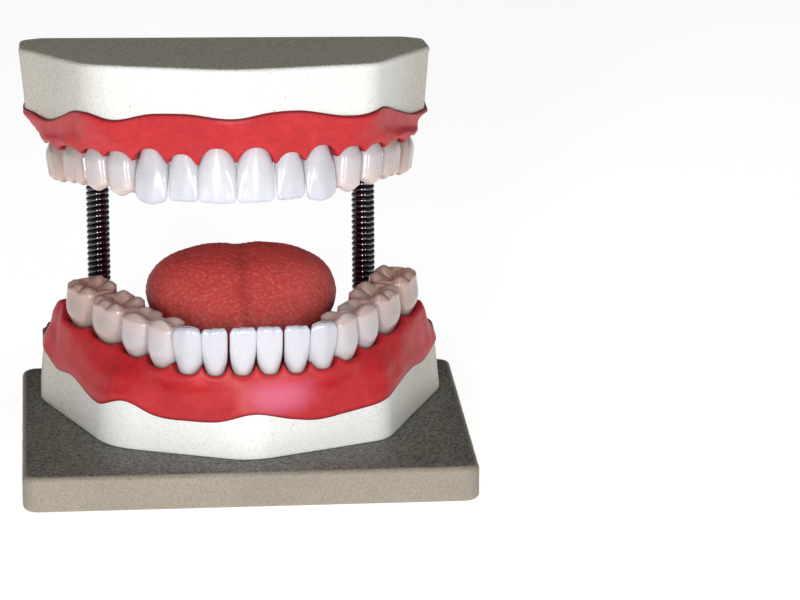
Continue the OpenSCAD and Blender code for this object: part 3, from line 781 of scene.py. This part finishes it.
def build_block(upper):
    shape = UPPER_OUTLINE if upper else OUTLINE
    seed = 4.0 if upper else 1.0
    wobble = np.array([noise.noise(Vector((x * 0.03, y * 0.03, seed))) for x, y in shape]) * SKIN
    along = np.roll(shape, -1, 0) - np.roll(shape, 1, 0)
    normals = np.stack([along[:, 1], -along[:, 0]], -1) / np.linalg.norm(along, axis=1)[:, None]

    def ring(inset):
        return shape - normals * (inset + SKIN - wobble)[:, None]

    def wall(share, z, from_wide, height, ripple, turn, shift):
        """A loop of the side wall, narrower and more rippled towards the gum."""
        loop = ring(0.0) * (1 - (1 - DRAFT) * from_wide / height)[:, None] + shift
        ripples = 0.12 * np.sin(shape[:, 0] * ripple + turn * 4) * share
        return level(loop + normals * ripples[:, None], z)

    rings = []
    if upper:
        shift = np.array([UPPER_MID, -UPPER_FORWARD])
        edge = upper_edge(shape[:, 0] * DRAFT, shape[:, 1] * DRAFT - UPPER_FORWARD) - 0.8

        def top_at(x):
            return UPPER_TOP - TOP_FALL * (x - UPPER_MID + TOP_LEFT)

        lid = np.maximum(edge, UPPER_TOP - UPPER_H - 1.0)
        for scale, up in ((0.1, 1.5), (0.5, 1.5), (0.85, 1.0), (0.965, 0.3)):
            rings.append(level(shape * DRAFT * scale + shift, lid + up))
        for t in np.linspace(0.0, 1.0, 18)[:-1]:
            z = edge + (top_at(ring(0.0)[:, 0] + UPPER_MID) - 2.2 - edge) * t
            rings.append(wall(1 - t, z, UPPER_TOP - z, UPPER_H, 0.09, t, shift))
        for down, inset in ((2.2, 0.0), (1.5, 0.12), (0.9, 0.42), (0.42, 0.95), (0.12, 1.6), (0.0, 2.4)):
            loop = ring(inset) + shift
            rings.append(level(loop, top_at(loop[:, 0]) - down))
        for scale in (0.93, 0.8, 0.6, 0.4, 0.2, 0.06):
            loop = shape * scale + shift
            uneven = [0.06 * noise.noise(Vector((x * 0.05, y * 0.05, 2))) - 0.06 for x, y in loop]
            rings.append(level(loop, top_at(loop[:, 0]) + uneven))
        rings = [tilted(r) for r in rings]
    else:
        edge = lower_edge(shape[:, 0] * DRAFT, shape[:, 1] * DRAFT) + 0.8
        for scale in (0.05, 0.35, 0.7, 0.96):
            rings.append(level(shape * scale, PLATE_TOP + 0.02))
        for up, inset in ((0.02, 0.9), (0.15, 0.4), (0.6, 0.1), (1.2, 0.0)):
            rings.append(level(ring(inset), PLATE_TOP + up))
        for t in np.linspace(0.08, 1.0, 16):
            up = 1.2 + (edge - PLATE_TOP - 1.2) * t
            rings.append(wall(t, PLATE_TOP + up, up, BLOCK_H, 0.11, t, 0.0))
        for scale, down in ((0.965, 0.3), (0.85, 1.0), (0.5, 1.5), (0.1, 1.5)):
            rings.append(level(shape * DRAFT * scale, np.minimum(edge, LOWER_TOP + 1.0) - down))
    jaw, mat = ("upper", STONE_UPPER) if upper else ("lower", STONE)
    piece = make(f"{jaw}_stone_block", *loft(rings), mat, "stone", f"{jaw}_jaw_block")
    weld(piece)
    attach(piece, "upper_jaw" if upper else "base")
    sharp_edges(piece, 40)


# -------- base plate


def rounded_rect(w, d, r):
    points = []
    for quarter, (across, deep) in enumerate(((1, 1), (-1, 1), (-1, -1), (1, -1))):
        for k in range(17):
            a = math.radians(90 * quarter + 90 * k / 16)
            points.append((across * (w / 2 - r) + r * math.cos(a), deep * (d / 2 - r) + r * math.sin(a)))
    return resample(np.array(points), 400)


def build_plate():
    w, d = PLATE_W - 0.5, PLATE_D - 0.5
    pad_lo, pad_hi = box_mm("base_pad")
    pad_w, pad_d = (pad_hi - pad_lo)[:2] + 0.6
    edge = 3.6
    turns = [(edge * (1 - math.sin(a)), edge * (1 - math.cos(a))) for a in np.radians(np.linspace(0, 90, 7))]
    straight = PLATE_TOP - PLATE_BOTTOM - 2 * edge
    # width, depth, corner radius and height of each loop, from the pad's recess round to the top
    loops = [(pad_w * s, pad_d * s, 2 * s, pad_hi[2] + 0.02) for s in (0.04, 0.5, 0.98, 1.0)]
    loops += [(pad_w, pad_d, 2, PLATE_BOTTOM)]
    loops += [(w - 2 * i, d - 2 * i, 7 - i * 0.6, PLATE_BOTTOM + up) for i, up in turns]
    loops += [(w, d, 7, PLATE_BOTTOM + edge + straight * t) for t in np.linspace(0, 1, 8)[1:-1]]
    loops += [(w - 2 * i, d - 2 * i, 7 - i * 0.6, PLATE_TOP - down) for i, down in turns[::-1]]
    loops += [((w - 7) * s, (d - 7) * s, 4 * s, PLATE_TOP) for s in np.linspace(0.95, 0.05, 26)]
    verts, faces = loft([level(rounded_rect(*size), z) for *size, z in loops])
    for p in verts:
        q = Vector((p[0] * 0.09, p[1] * 0.09, p[2] * 0.16))
        dent = noise.noise(q) * 0.16 + noise.noise(q * 3.1) * 0.1
        if p[2] > PLATE_TOP - 0.5:
            p[2] += min(0.0, dent - 0.12)
        elif p[2] > PLATE_BOTTOM + 1:
            axis = 0 if abs(p[0] / PLATE_W) > abs(p[1] / PLATE_D) else 1
            p[axis] -= math.copysign(max(0, dent), p[axis])
    piece = make("cast_base_plate", verts, faces, PLATE, "plate", "base_plate")
    weld(piece)
    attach(piece, "base")
    sharp_edges(piece, 50)


# -------- teeth
CROWN_N = 72
CROWN_ROOT = 9.0                 # how far a crown reaches below the gum's edge
TABLE_AT = 0.84                  # share of a back tooth's height where its chewing surface starts


class Crown:
    """Loops from under the gum to the biting edge, and what the enamel material reads from each."""

    def __init__(self):
        self.rings = []
        self.layers = {"height": [], "fissure": [], "rim": []}

    def add(self, ring, height, rim, fissure=0.0):
        self.rings.append(ring)
        for key, value in (("height", height), ("fissure", fissure), ("rim", rim)):
            self.layers[key].append(np.broadcast_to(value, CROWN_N))

    def attributes(self):
        flat = {key: np.concatenate(rows) for key, rows in self.layers.items()}
        return {key: np.clip(np.r_[v, v[:CROWN_N].mean(), v[-CROWN_N:].mean()], 0, 1)
                for key, v in flat.items()}


def superellipse(a, cheek_y, tongue_y, power, waist=0.0, narrow=1.0):
    """A loop around a crown, from its cheek face to its tongue face."""
    ang = np.linspace(0, 2 * math.pi, CROWN_N, endpoint=False) - math.pi / 2
    c, s = np.cos(ang), np.sin(ang)
    y = np.sign(s) * np.abs(s) ** (2 / power)
    x = np.sign(c) * np.abs(c) ** (2 / power) * a * (1 - (1 - narrow) * smoothstep(-0.6, 1.0, y))
    y = (cheek_y + tongue_y) / 2 + y * (tongue_y - cheek_y) / 2
    if waist:
        y = y + np.where(s < 0, 1.0, -0.8) * waist * gauss(x, a * 0.28)
    return x, y, ang


def front_crown(i, w, d, h, upper):
    """An incisor or canine: x across the arch, y to the tongue, z out of the gum."""
    crown = Crown()
    incisor = i < 2
    half = w / 2 * 0.992
    neck_w, full_at = (0.72, 0.5) if upper else (0.77, 0.58)
    drop = 0.0 if incisor else 2.0 if upper else 1.5
    shares = [0.92, 0.84, 0.58, 0.36, 0.25, (3.2 if incisor else 4.2) / d]
    heights = np.r_[np.linspace(-CROWN_ROOT / h, -0.04, 5), np.linspace(0, 0.9, 24)]
    for t in np.r_[heights, 0.93, 0.955, 0.975, 0.99, 0.998, 1.0]:
        up = max(t, 0.0)
        if t < 0:
            wide = neck_w * (1 + t * 0.5)
            cheek_y = 1.3 - t * 3.0
            thick = d * (0.92 + t * 0.6)
        else:
            wide = neck_w + (1 - neck_w) * math.sin(min(up / full_at, 1.0) * math.pi / 2) ** 0.9
            cheek_y = 1.3 - 1.6 * math.sin(min(up, 0.75) / 0.75 * math.pi / 2)
            cheek_y += 3.84 * max(0, up - 0.45) ** 1.5
            thick = d * float(np.interp(up, [0, 0.2, 0.45, 0.7, 0.88, 1.0], shares))
            if not incisor:
                wide -= 0.07 * smoothstep(0.68, 1.0, up)
        tuck = max(0, (t - 0.93) / 0.07) ** 2.2
        cheek_y += 0.9 * tuck
        thick -= 1.5 * tuck
        a = half * wide * (1 - 0.10 * max(0, (t - 0.9) / 0.1) ** 2.2)
        x, y, ang = superellipse(a, cheek_y, cheek_y + thick, 2.08 + 0.4 * up, narrow=0.80 + 0.06 * up)
        # two shallow grooves and three soft lobes on the cheek face
        cheek = np.clip(-np.sin(ang), 0, 1)
        u = x / max(a, 1e-6)
        y = y - 0.28 * np.cos(u * 6.4) * smoothstep(0.35, 0.9, up) * cheek * (0.7 if incisor else 0.3)
        corner = np.clip(np.abs(u) - 0.72, 0, 1) / 0.28
        z = t * h - drop * np.abs(u) ** 1.8 * smoothstep(0.55, 1.0, up) - 0.35 * u * smoothstep(0.8, 1.0, up)
        z = z - 1.5 * corner ** 2.2 * smoothstep(0.85, 1.0, up) * (1 if incisor else 0.4)
        if incisor:
            z = z + 0.18 * np.cos(u * 6.4 + 0.3) * smoothstep(0.9, 1, up)
        else:
            y = y - 0.8 * gauss(u, 0.42) * cheek * smoothstep(0.1, 0.7, up)
        # painted shade on the crown's sides and biting edge
        side = np.clip(np.abs(u) - 0.82, 0, 1) / 0.18
        crown.add(np.c_[x, y, z], up, 0.28 * side ** 1.5 + 0.25 * smoothstep(0.93, 1.0, up))
    # ease the edge shut
    top = crown.rings[-1]
    mid = top.mean(0)
    for across, deep, up in ((0.96, 0.86, 0.06), (0.9, 0.6, 0.1), (0.8, 0.3, 0.11)):
        eased = mid[:2] + (top[:, :2] - mid[:2]) * (across, deep)
        # painted shade on the biting edge
        crown.add(level(eased, top[:, 2] + up), 1.0, 0.3)
    return crown


def cusps_of(i, upper):
    """Cusps of a back tooth: place across, place deep and height, all as shares."""
    if i > 4:
        if upper:
            return [(-0.5, -0.62, 1.0), (0.48, -0.6, 0.92), (-0.46, 0.6, 0.95), (0.5, 0.58, 0.7)]
        return [(-0.56, -0.6, 0.95), (0.12, -0.64, 0.9), (0.66, -0.5, 0.72), (-0.46, 0.62, 1.0),
                (0.44, 0.6, 0.92)]
    if upper:
        return [(0.0, -0.58, 1.0), (0.0, 0.58, 0.85)]
    if i == 3:
        return [(0.0, -0.5, 1.0), (-0.1, 0.62, 0.55)]
    return [(0.0, -0.55, 1.0), (-0.38, 0.6, 0.68), (0.42, 0.6, 0.6)]


def chewing_table(u, v, cusps, molar, upper):
    """Height and groove of a chewing surface at u across and v deep, both from -1 to 1."""
    z = np.zeros_like(u)
    wide = 0.30 if molar else 0.36
    for cx, cy, cz in cusps:
        far = ((u - cx) / (wide * (1.05 if molar else 1.6))) ** 2 + ((v - cy) / wide) ** 2
        z = np.maximum(z, cz * np.exp(-far * 0.62)) + 0.12 * cz * np.exp(-far * 1.4)
    z = np.maximum(z, 0.52 * gauss(np.abs(u) - 0.88, 0.16) * gauss(v, 0.75))
    groove = gauss(v - 0.05 * np.sin(u * 5), 0.055) * (np.abs(u) < 0.8)
    z = z - 0.42 * np.exp(-(u ** 2 + v ** 2) / 0.32) - 0.2 * groove
    if molar:
        for place, side in ((0.02, -1), (0.0, 1)) if upper else ((-0.22, -1), (0.4, -1), (0.0, 1)):
            branch = gauss(u - place - 0.06 * v, 0.05) * (np.sign(v) == side) * (np.abs(v) < 0.95)
            groove = np.maximum(groove, branch * 0.9)
            z = z - 0.17 * branch
    else:
        for place in (-0.62, 0.62):
            groove = np.maximum(groove, 0.7 * gauss(np.abs(u - place) + np.abs(np.abs(v) - 0.12), 0.09))
    return z, groove


def back_crown(i, w, d, h, upper, seed):
    """A premolar or molar, in the same frame as a front crown."""
    crown = Crown()
    molar = i > 4
    half = w / 2 * 0.992
    neck_w = (0.82 if molar else 0.78) if upper else (0.76 if molar else 0.68)
    full_at = 0.4 if upper else 0.56
    for t in np.r_[np.linspace(-CROWN_ROOT / h, -0.05, 4), np.linspace(0, TABLE_AT, 20)]:
        up = max(t, 0)
        if t < 0:
            wide = neck_w * (1 + t * 0.25)
            cheek_y, tongue_y = 1.6 - t * 2, d * 0.9 + t * 3
        else:
            wide = neck_w + (1 - neck_w) * math.sin(min(up / full_at, 1) * math.pi / 2)
            wide -= 0.04 * smoothstep(0.62, TABLE_AT, up)
            cheek_y = 1.6 - 2.3 * math.sin(min(up / 0.35, 1) * math.pi / 2) + 4.5 * max(0, up - 0.35) ** 1.4
            tongue_y = d * (0.9 + 0.12 * math.sin(min(up / 0.5, 1) * math.pi / 2))
            tongue_y -= 2.88 * max(0, up - 0.5) ** 1.3
        waist = 0.9 * smoothstep(0.25, TABLE_AT, up) if molar else 0.0
        x, y, _ = superellipse(half * wide, cheek_y, tongue_y, 2.5 + (0.6 if molar else 0.2) * up,
                               waist, 0.84 if molar else 0.78)
        # painted shade on the crown's sides and upper walls
        side = np.clip(np.abs(x / half) - 0.8, 0, 1) / 0.2
        rim = np.clip(0.22 * smoothstep(0.5, TABLE_AT, up) + 0.3 * side ** 1.5, 0, 1)
        crown.add(level(np.c_[x, y], t * h), up, rim)
    brim = crown.rings[-1][:, :2].copy()
    centre = brim.mean(0)
    reach = (brim.max(0) - brim.min(0)) / 2
    rnd = random.Random(seed)
    cusps = [(x + rnd.uniform(-0.04, 0.04), y + rnd.uniform(-0.03, 0.03), z * rnd.uniform(0.95, 1.04))
             for x, y, z in cusps_of(i, upper)]
    tall = h * (0.165 if molar else 0.17)
    u0, v0 = ((brim - centre) / reach).T
    brim_z, _ = chewing_table(u0, v0, cusps, molar, upper)
    # raise the last side rings towards the rim's own height so cusps run into the walls
    for back, share in ((6, 0.04), (5, 0.1), (4, 0.2), (3, 0.34), (2, 0.55), (1, 1.0)):
        crown.rings[-back][:, 2] += share * (brim_z * tall + 0.02 * h)
    for rho in (0.975, 0.94, 0.89, 0.83, 0.76, 0.68, 0.6, 0.52, 0.44, 0.36, 0.28, 0.2, 0.12, 0.05):
        z, groove = chewing_table(u0 * rho, v0 * rho, cusps, molar, upper)
        lift = TABLE_AT * h + 0.02 * h + tall * z + 0.45 * smoothstep(1.0, 0.8, rho)
        loop = centre + np.c_[u0, v0] * rho * reach
        # painted shade in the hollows of the chewing surface
        rim = np.clip(0.5 - z * 0.5, 0.05, 0.55)
        crown.add(level(loop, lift), 0.86 + 0.1 * np.clip(z.mean(), 0, 1), rim, groove * 0.7)
    return crown


# how much warmer and darker each tooth is than the front ones
AGE = [0.0, 0.08, 0.16, 0.12, 0.24, 0.5, 0.68]
KINDS = ["central_incisor", "lateral_incisor", "canine", "first_premolar", "second_premolar", "first_molar",
         "second_molar"]


def bite_plane(arch, upper):
    """Where the crowns stand: on the gum's edge, with z towards the other jaw."""
    if upper:
        height, slope = UPPER_BITE, Matrix.Rotation(-UPPER_SLOPE, 4, "X") @ Matrix.Diagonal((1, 1, -1, 1))
    else:
        height, slope = LOWER_BITE, Matrix.Rotation(LOWER_SLOPE, 4, "X")
    plane = Matrix.Translation((arch.mid * MM, -arch.front * MM, height * MM)) @ slope
    return TILT @ plane if upper else plane


def build_teeth(arch, upper):
    jaw, body = ("upper", "upper_jaw") if upper else ("lower", "base")
    for side, name in ((-1, "left"), (1, "right")):
        for i, kind in enumerate(KINDS):
            size = arch.widths[i], arch.depths[i], arch.heights[i]
            seed = (100 if upper else 0) + i * 2 + (side > 0)
            crown = front_crown(i, *size, upper) if i < 3 else back_crown(i, *size, upper, seed)
            verts, faces = loft(crown.rings)
            attrs = crown.attributes()
            attrs["age"] = np.full(len(verts), AGE[i])
            x, y, heading, _ = arch.at(side * arch.centre(i))
            rnd = random.Random(seed + 40)
            spin = Matrix.Rotation(heading + math.radians(rnd.uniform(-1.5, 1.5)), 4, "Z")
            lean = Matrix.Rotation(math.radians(rnd.uniform(-1.2, 1.2)), 4, "Y")
            place = Matrix.Translation(((x - arch.mid) * MM, (y + arch.front) * MM, 0)) @ spin @ lean
            matrix = bite_plane(arch, upper) @ place
            # a left tooth is the right one mirrored, and an upper crown's mirror is baked into its mesh
            if side < 0:
                verts[:, 0] *= -1
            if upper:
                matrix = matrix @ Matrix.Diagonal((1, 1, -1, 1))
                verts[:, 2] *= -1
            if (side < 0) != upper:
                faces = [f[::-1] for f in faces]
            piece = make(f"{jaw}_{name}_{kind}_crown", verts, faces, ENAMEL_FRONT if i < 3 else ENAMEL_BACK,
                         "enamel", f"{jaw}_{name}_{kind}", attrs, matrix)
            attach(piece, body)


# -------- tongue
TONGUE_WIDEST_Y, TONGUE_WIDEST_Z = 22.0, 85.0
TONGUE_UNDER = 0.30              # share of the loops that lie under the widest line
TONGUE_LOOPS, TONGUE_POINTS = 118, 300


def build_tongue():
    lo, hi = box_mm("tongue")
    cx = (lo[0] + hi[0]) / 2
    half_w = (hi[0] - lo[0]) / 2 - 0.6
    ang = np.linspace(0, 2 * math.pi, TONGUE_POINTS, endpoint=False)
    ux, uy = (np.sign(v) * np.abs(v) ** (2 / 2.25) for v in (np.cos(ang), np.sin(ang)))
    reach = np.where(uy > 0, hi[1] - 0.8 - TONGUE_WIDEST_Y, TONGUE_WIDEST_Y - lo[1] - 0.8)
    narrow = np.where(uy < 0, 1 - 0.20 * np.abs(uy) ** 1.4, 1 - 0.05 * uy ** 2)
    rings, deep = [], []
    for t in np.arange(TONGUE_LOOPS) / (TONGUE_LOOPS - 1):
        # from the base edge, up over the widest line, to the crown
        if t < TONGUE_UNDER:
            below = 1 - t / TONGUE_UNDER
            phi = -0.62 * math.pi / 2 * below
            share = 1 - 0.42 * below ** 1.9
            z = TONGUE_WIDEST_Z + (FLOOR_Z + 0.2 - TONGUE_WIDEST_Z) * below ** 1.15
        else:
            phi = math.pi / 2 * (t - TONGUE_UNDER) / (1 - TONGUE_UNDER) * 0.985
            share = math.cos(phi) ** 0.78
            z = TONGUE_WIDEST_Z + (hi[2] - 0.7 - TONGUE_WIDEST_Z) * math.sin(phi)
        x = ux * half_w * share * narrow
        y = TONGUE_WIDEST_Y + uy * reach * share
        crest = max(math.sin(phi), 0)
        sag = 0.45 + 0.55 * float(smoothstep(-0.5, 0.5, phi))
        fall = (13.0 * smoothstep(20, -46, y) ** 1.3 + 5.0 * smoothstep(35, 72, y)) * sag
        groove = 1.5 * gauss(x, 6.5) * smoothstep(0.2, 1.0, crest) * smoothstep(-48, -10, y)
        lobes = 0.2 * np.cos(x / half_w * math.pi * 1.6) * crest
        rings.append(level(np.c_[x + cx, y], np.maximum(z - fall - groove - lobes, FLOOR_Z + 0.2)))
        # painted shade: darker along the middle groove and round the base
        deep.append(gauss(x, 3.0) * 0.2 * (phi > 0.3) + (0.55 if t < 0.1 else 0.0))
    verts, faces = loft(rings)
    probe = plain_mesh("probe", verts, faces)
    normals = np.zeros(len(verts) * 3)
    probe.vertices.foreach_get("normal", normals)
    bpy.data.meshes.remove(probe)
    for p, normal in zip(verts, normals.reshape(-1, 3)):
        if p[2] >= 60:
            cell = max(0.0, 0.75 - noise.voronoi(Vector(p) * 0.42)[0][0])
            p += normal * (0.6 * cell - 0.5 + 0.7 * noise.noise(Vector(p) * 0.055))
    layers = {"deep": np.r_[np.concatenate(deep), 0.5, 0.0]}
    piece = make("pebbled_tongue", verts, faces, TONGUE, "tongue", "tongue", layers)
    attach(piece, "base")


# -------- springs
WIRE = 1.5
PITCH = 3.08
HALF_FREE = 56.0                 # half of a spring's free length
BURIED = 7.0                     # how far each end runs on into its block
FREE_LOW = HINGE_Z - HALF_FREE
FREE_BACK, FREE_UP = 7.8, 111.5  # from the bent free length's lower end to its upper end
BEND_R = HALF_FREE / math.tan(OPEN / 2)
START_TURN = {"left": 0.6, "right": 2.3}
STEPS_PER_TURN, WIRE_SIDES = 34, 10


def coil_rings(spring_x, start, end, first_turn):
    """Loops round the wire, between two distances along the bent centre line."""
    count = int((end - start) / PITCH * STEPS_PER_TURN)
    ex = np.array([1.0, 0, 0])
    rings = []
    for k in range(count + 1):
        along = start + (end - start) * k / count
        turn = 2 * math.pi * (along - BEND_R * OPEN / 2) / PITCH + first_turn
        bend = min(max(along / BEND_R, 0.0), OPEN)
        c, s = math.cos(bend), math.sin(bend)
        # the centre line's direction and its sideways axis, which the coil turns about
        ahead, across = np.array([0, s, c]), np.array([0, c, -s])
        centre = np.array([spring_x, HINGE_Y + BEND_R * (1 - c), FREE_LOW + BEND_R * s])
        centre += ahead * (along - bend * BEND_R)
        out = ex * math.cos(turn) + across * math.sin(turn)
        wire = centre + out * (SPRING_R - WIRE)
        angles = 2 * math.pi * np.arange(WIRE_SIDES) / WIRE_SIDES
        rings.append(wire + WIRE * (np.outer(np.cos(angles), out) + np.outer(np.sin(angles), ahead)))
    return rings


def build_springs():
    middle = BEND_R * OPEN / 2
    low = (0, HINGE_Y * MM, FREE_LOW * MM)
    hinge = (0, HINGE_Y * MM, HINGE_Z * MM)
    high = (0, (HINGE_Y + FREE_BACK) * MM, (FREE_LOW + FREE_UP) * MM)
    for spring_x, name in zip(SPRING_X, ("left", "right")):
        for part, start, end in (("lower", -BURIED, middle), ("upper", middle, 2 * middle + BURIED)):
            rings = coil_rings(spring_x, start, end, START_TURN[name])
            piece = make(f"{name}_spring_{part}_coils", *loft(rings), CHROME, "spring_steel",
                         f"{name}_spring")
            weld(piece)
            if part == "lower":
                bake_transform(piece, "base", "springs", start=low, end=hinge)
            else:
                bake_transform(piece, "springs", "upper_jaw", start=hinge, end=high)


# -------- build everything
build_plate()
build_block(False)
build_block(True)
build_gum("lower_gum_skin", LOWER, False, "lower_gum")
build_gum("upper_gum_skin", UPPER, True, "upper_gum")
build_teeth(LOWER, False)
build_teeth(UPPER, True)
build_tongue()
build_springs()

ZINC_NODES = ("jaw_mounting_screws", "tongue_screw", "lower_spring_studs", "lower_set_screws",
              "palate_screws", "upper_spring_studs", "upper_set_screws")
for node, mat in [("base_pad", CORK)] + [(node, ZINC) for node in ZINC_NODES]:
    materials = frame["nodes"][node].data.materials
    materials.clear()
    materials.append(mat)

# -------- floor, camera, lights
scene = bpy.context.scene
FLOOR_SIZE = 6.0
corners = [(x * FLOOR_SIZE, y * FLOOR_SIZE, 0) for x, y in ((-1, -1), (1, -1), (1, 1), (-1, 1))]
floor_mesh = plain_mesh("studio_floor", corners, [(0, 1, 2, 3)])
floor = bpy.data.objects.new("studio_floor", floor_mesh)
scene.collection.objects.link(floor)
pale = Mat("floor_pale")
pale.set(Base_Color=pale.ramp(pale.noise(1.2, 2), [(0.3, 0.86), (0.7, 0.88)]), Roughness=0.85,
         Emission_Color=(1, 1, 1), Emission_Strength=0.72)
floor_mesh.materials.append(pale.m)


def aim(thing, direction):
    thing.rotation_mode = "QUATERNION"
    thing.rotation_quaternion = direction.to_track_quat("-Z", "Y")


CAMERA_TURN, CAMERA_RISE = math.radians(-4.57), math.radians(17.35)
CAMERA_AIM, CAMERA_FAR = Vector((0.0848, 0, 0.0842)), 2.394
lens = bpy.data.cameras.new("camera")
lens.lens = 199.9
lens.sensor_width = 36.0
lens.clip_start, lens.clip_end = 0.05, 50
camera = bpy.data.objects.new("camera", lens)
scene.collection.objects.link(camera)
back = Vector((math.sin(CAMERA_TURN), -math.cos(CAMERA_TURN), 0)) * math.cos(CAMERA_RISE)
back.z = math.sin(CAMERA_RISE)
camera.location = CAMERA_AIM + back * CAMERA_FAR
aim(camera, -back)
scene.camera = camera
scene.view_settings.view_transform = "Standard"

world = bpy.data.worlds.new("world")
scene.world = world
world.use_nodes = True
sky = world.node_tree.nodes["Background"]
sky.inputs["Color"].default_value = (1, 1, 1, 1)
sky.inputs["Strength"].default_value = 0.12


def area(name, place, target, width, height, power):
    light = bpy.data.lights.new(name, "AREA")
    light.shape = "RECTANGLE"
    light.size, light.size_y = width, height
    light.energy = power
    lamp = bpy.data.objects.new(name, light)
    scene.collection.objects.link(lamp)
    lamp.location = place
    aim(lamp, Vector(target) - Vector(place))


area("front_key", (-0.55, -2.4, 0.42), (0, 0, 0.12), 0.32, 1.0, 33)
area("front_fill", (0.7, -2.3, 0.4), (0, 0, 0.12), 0.24, 1.0, 17)
area("top_soft", (0.1, -0.5, 2.4), (0, 0, 0.1), 1.6, 1.6, 11)
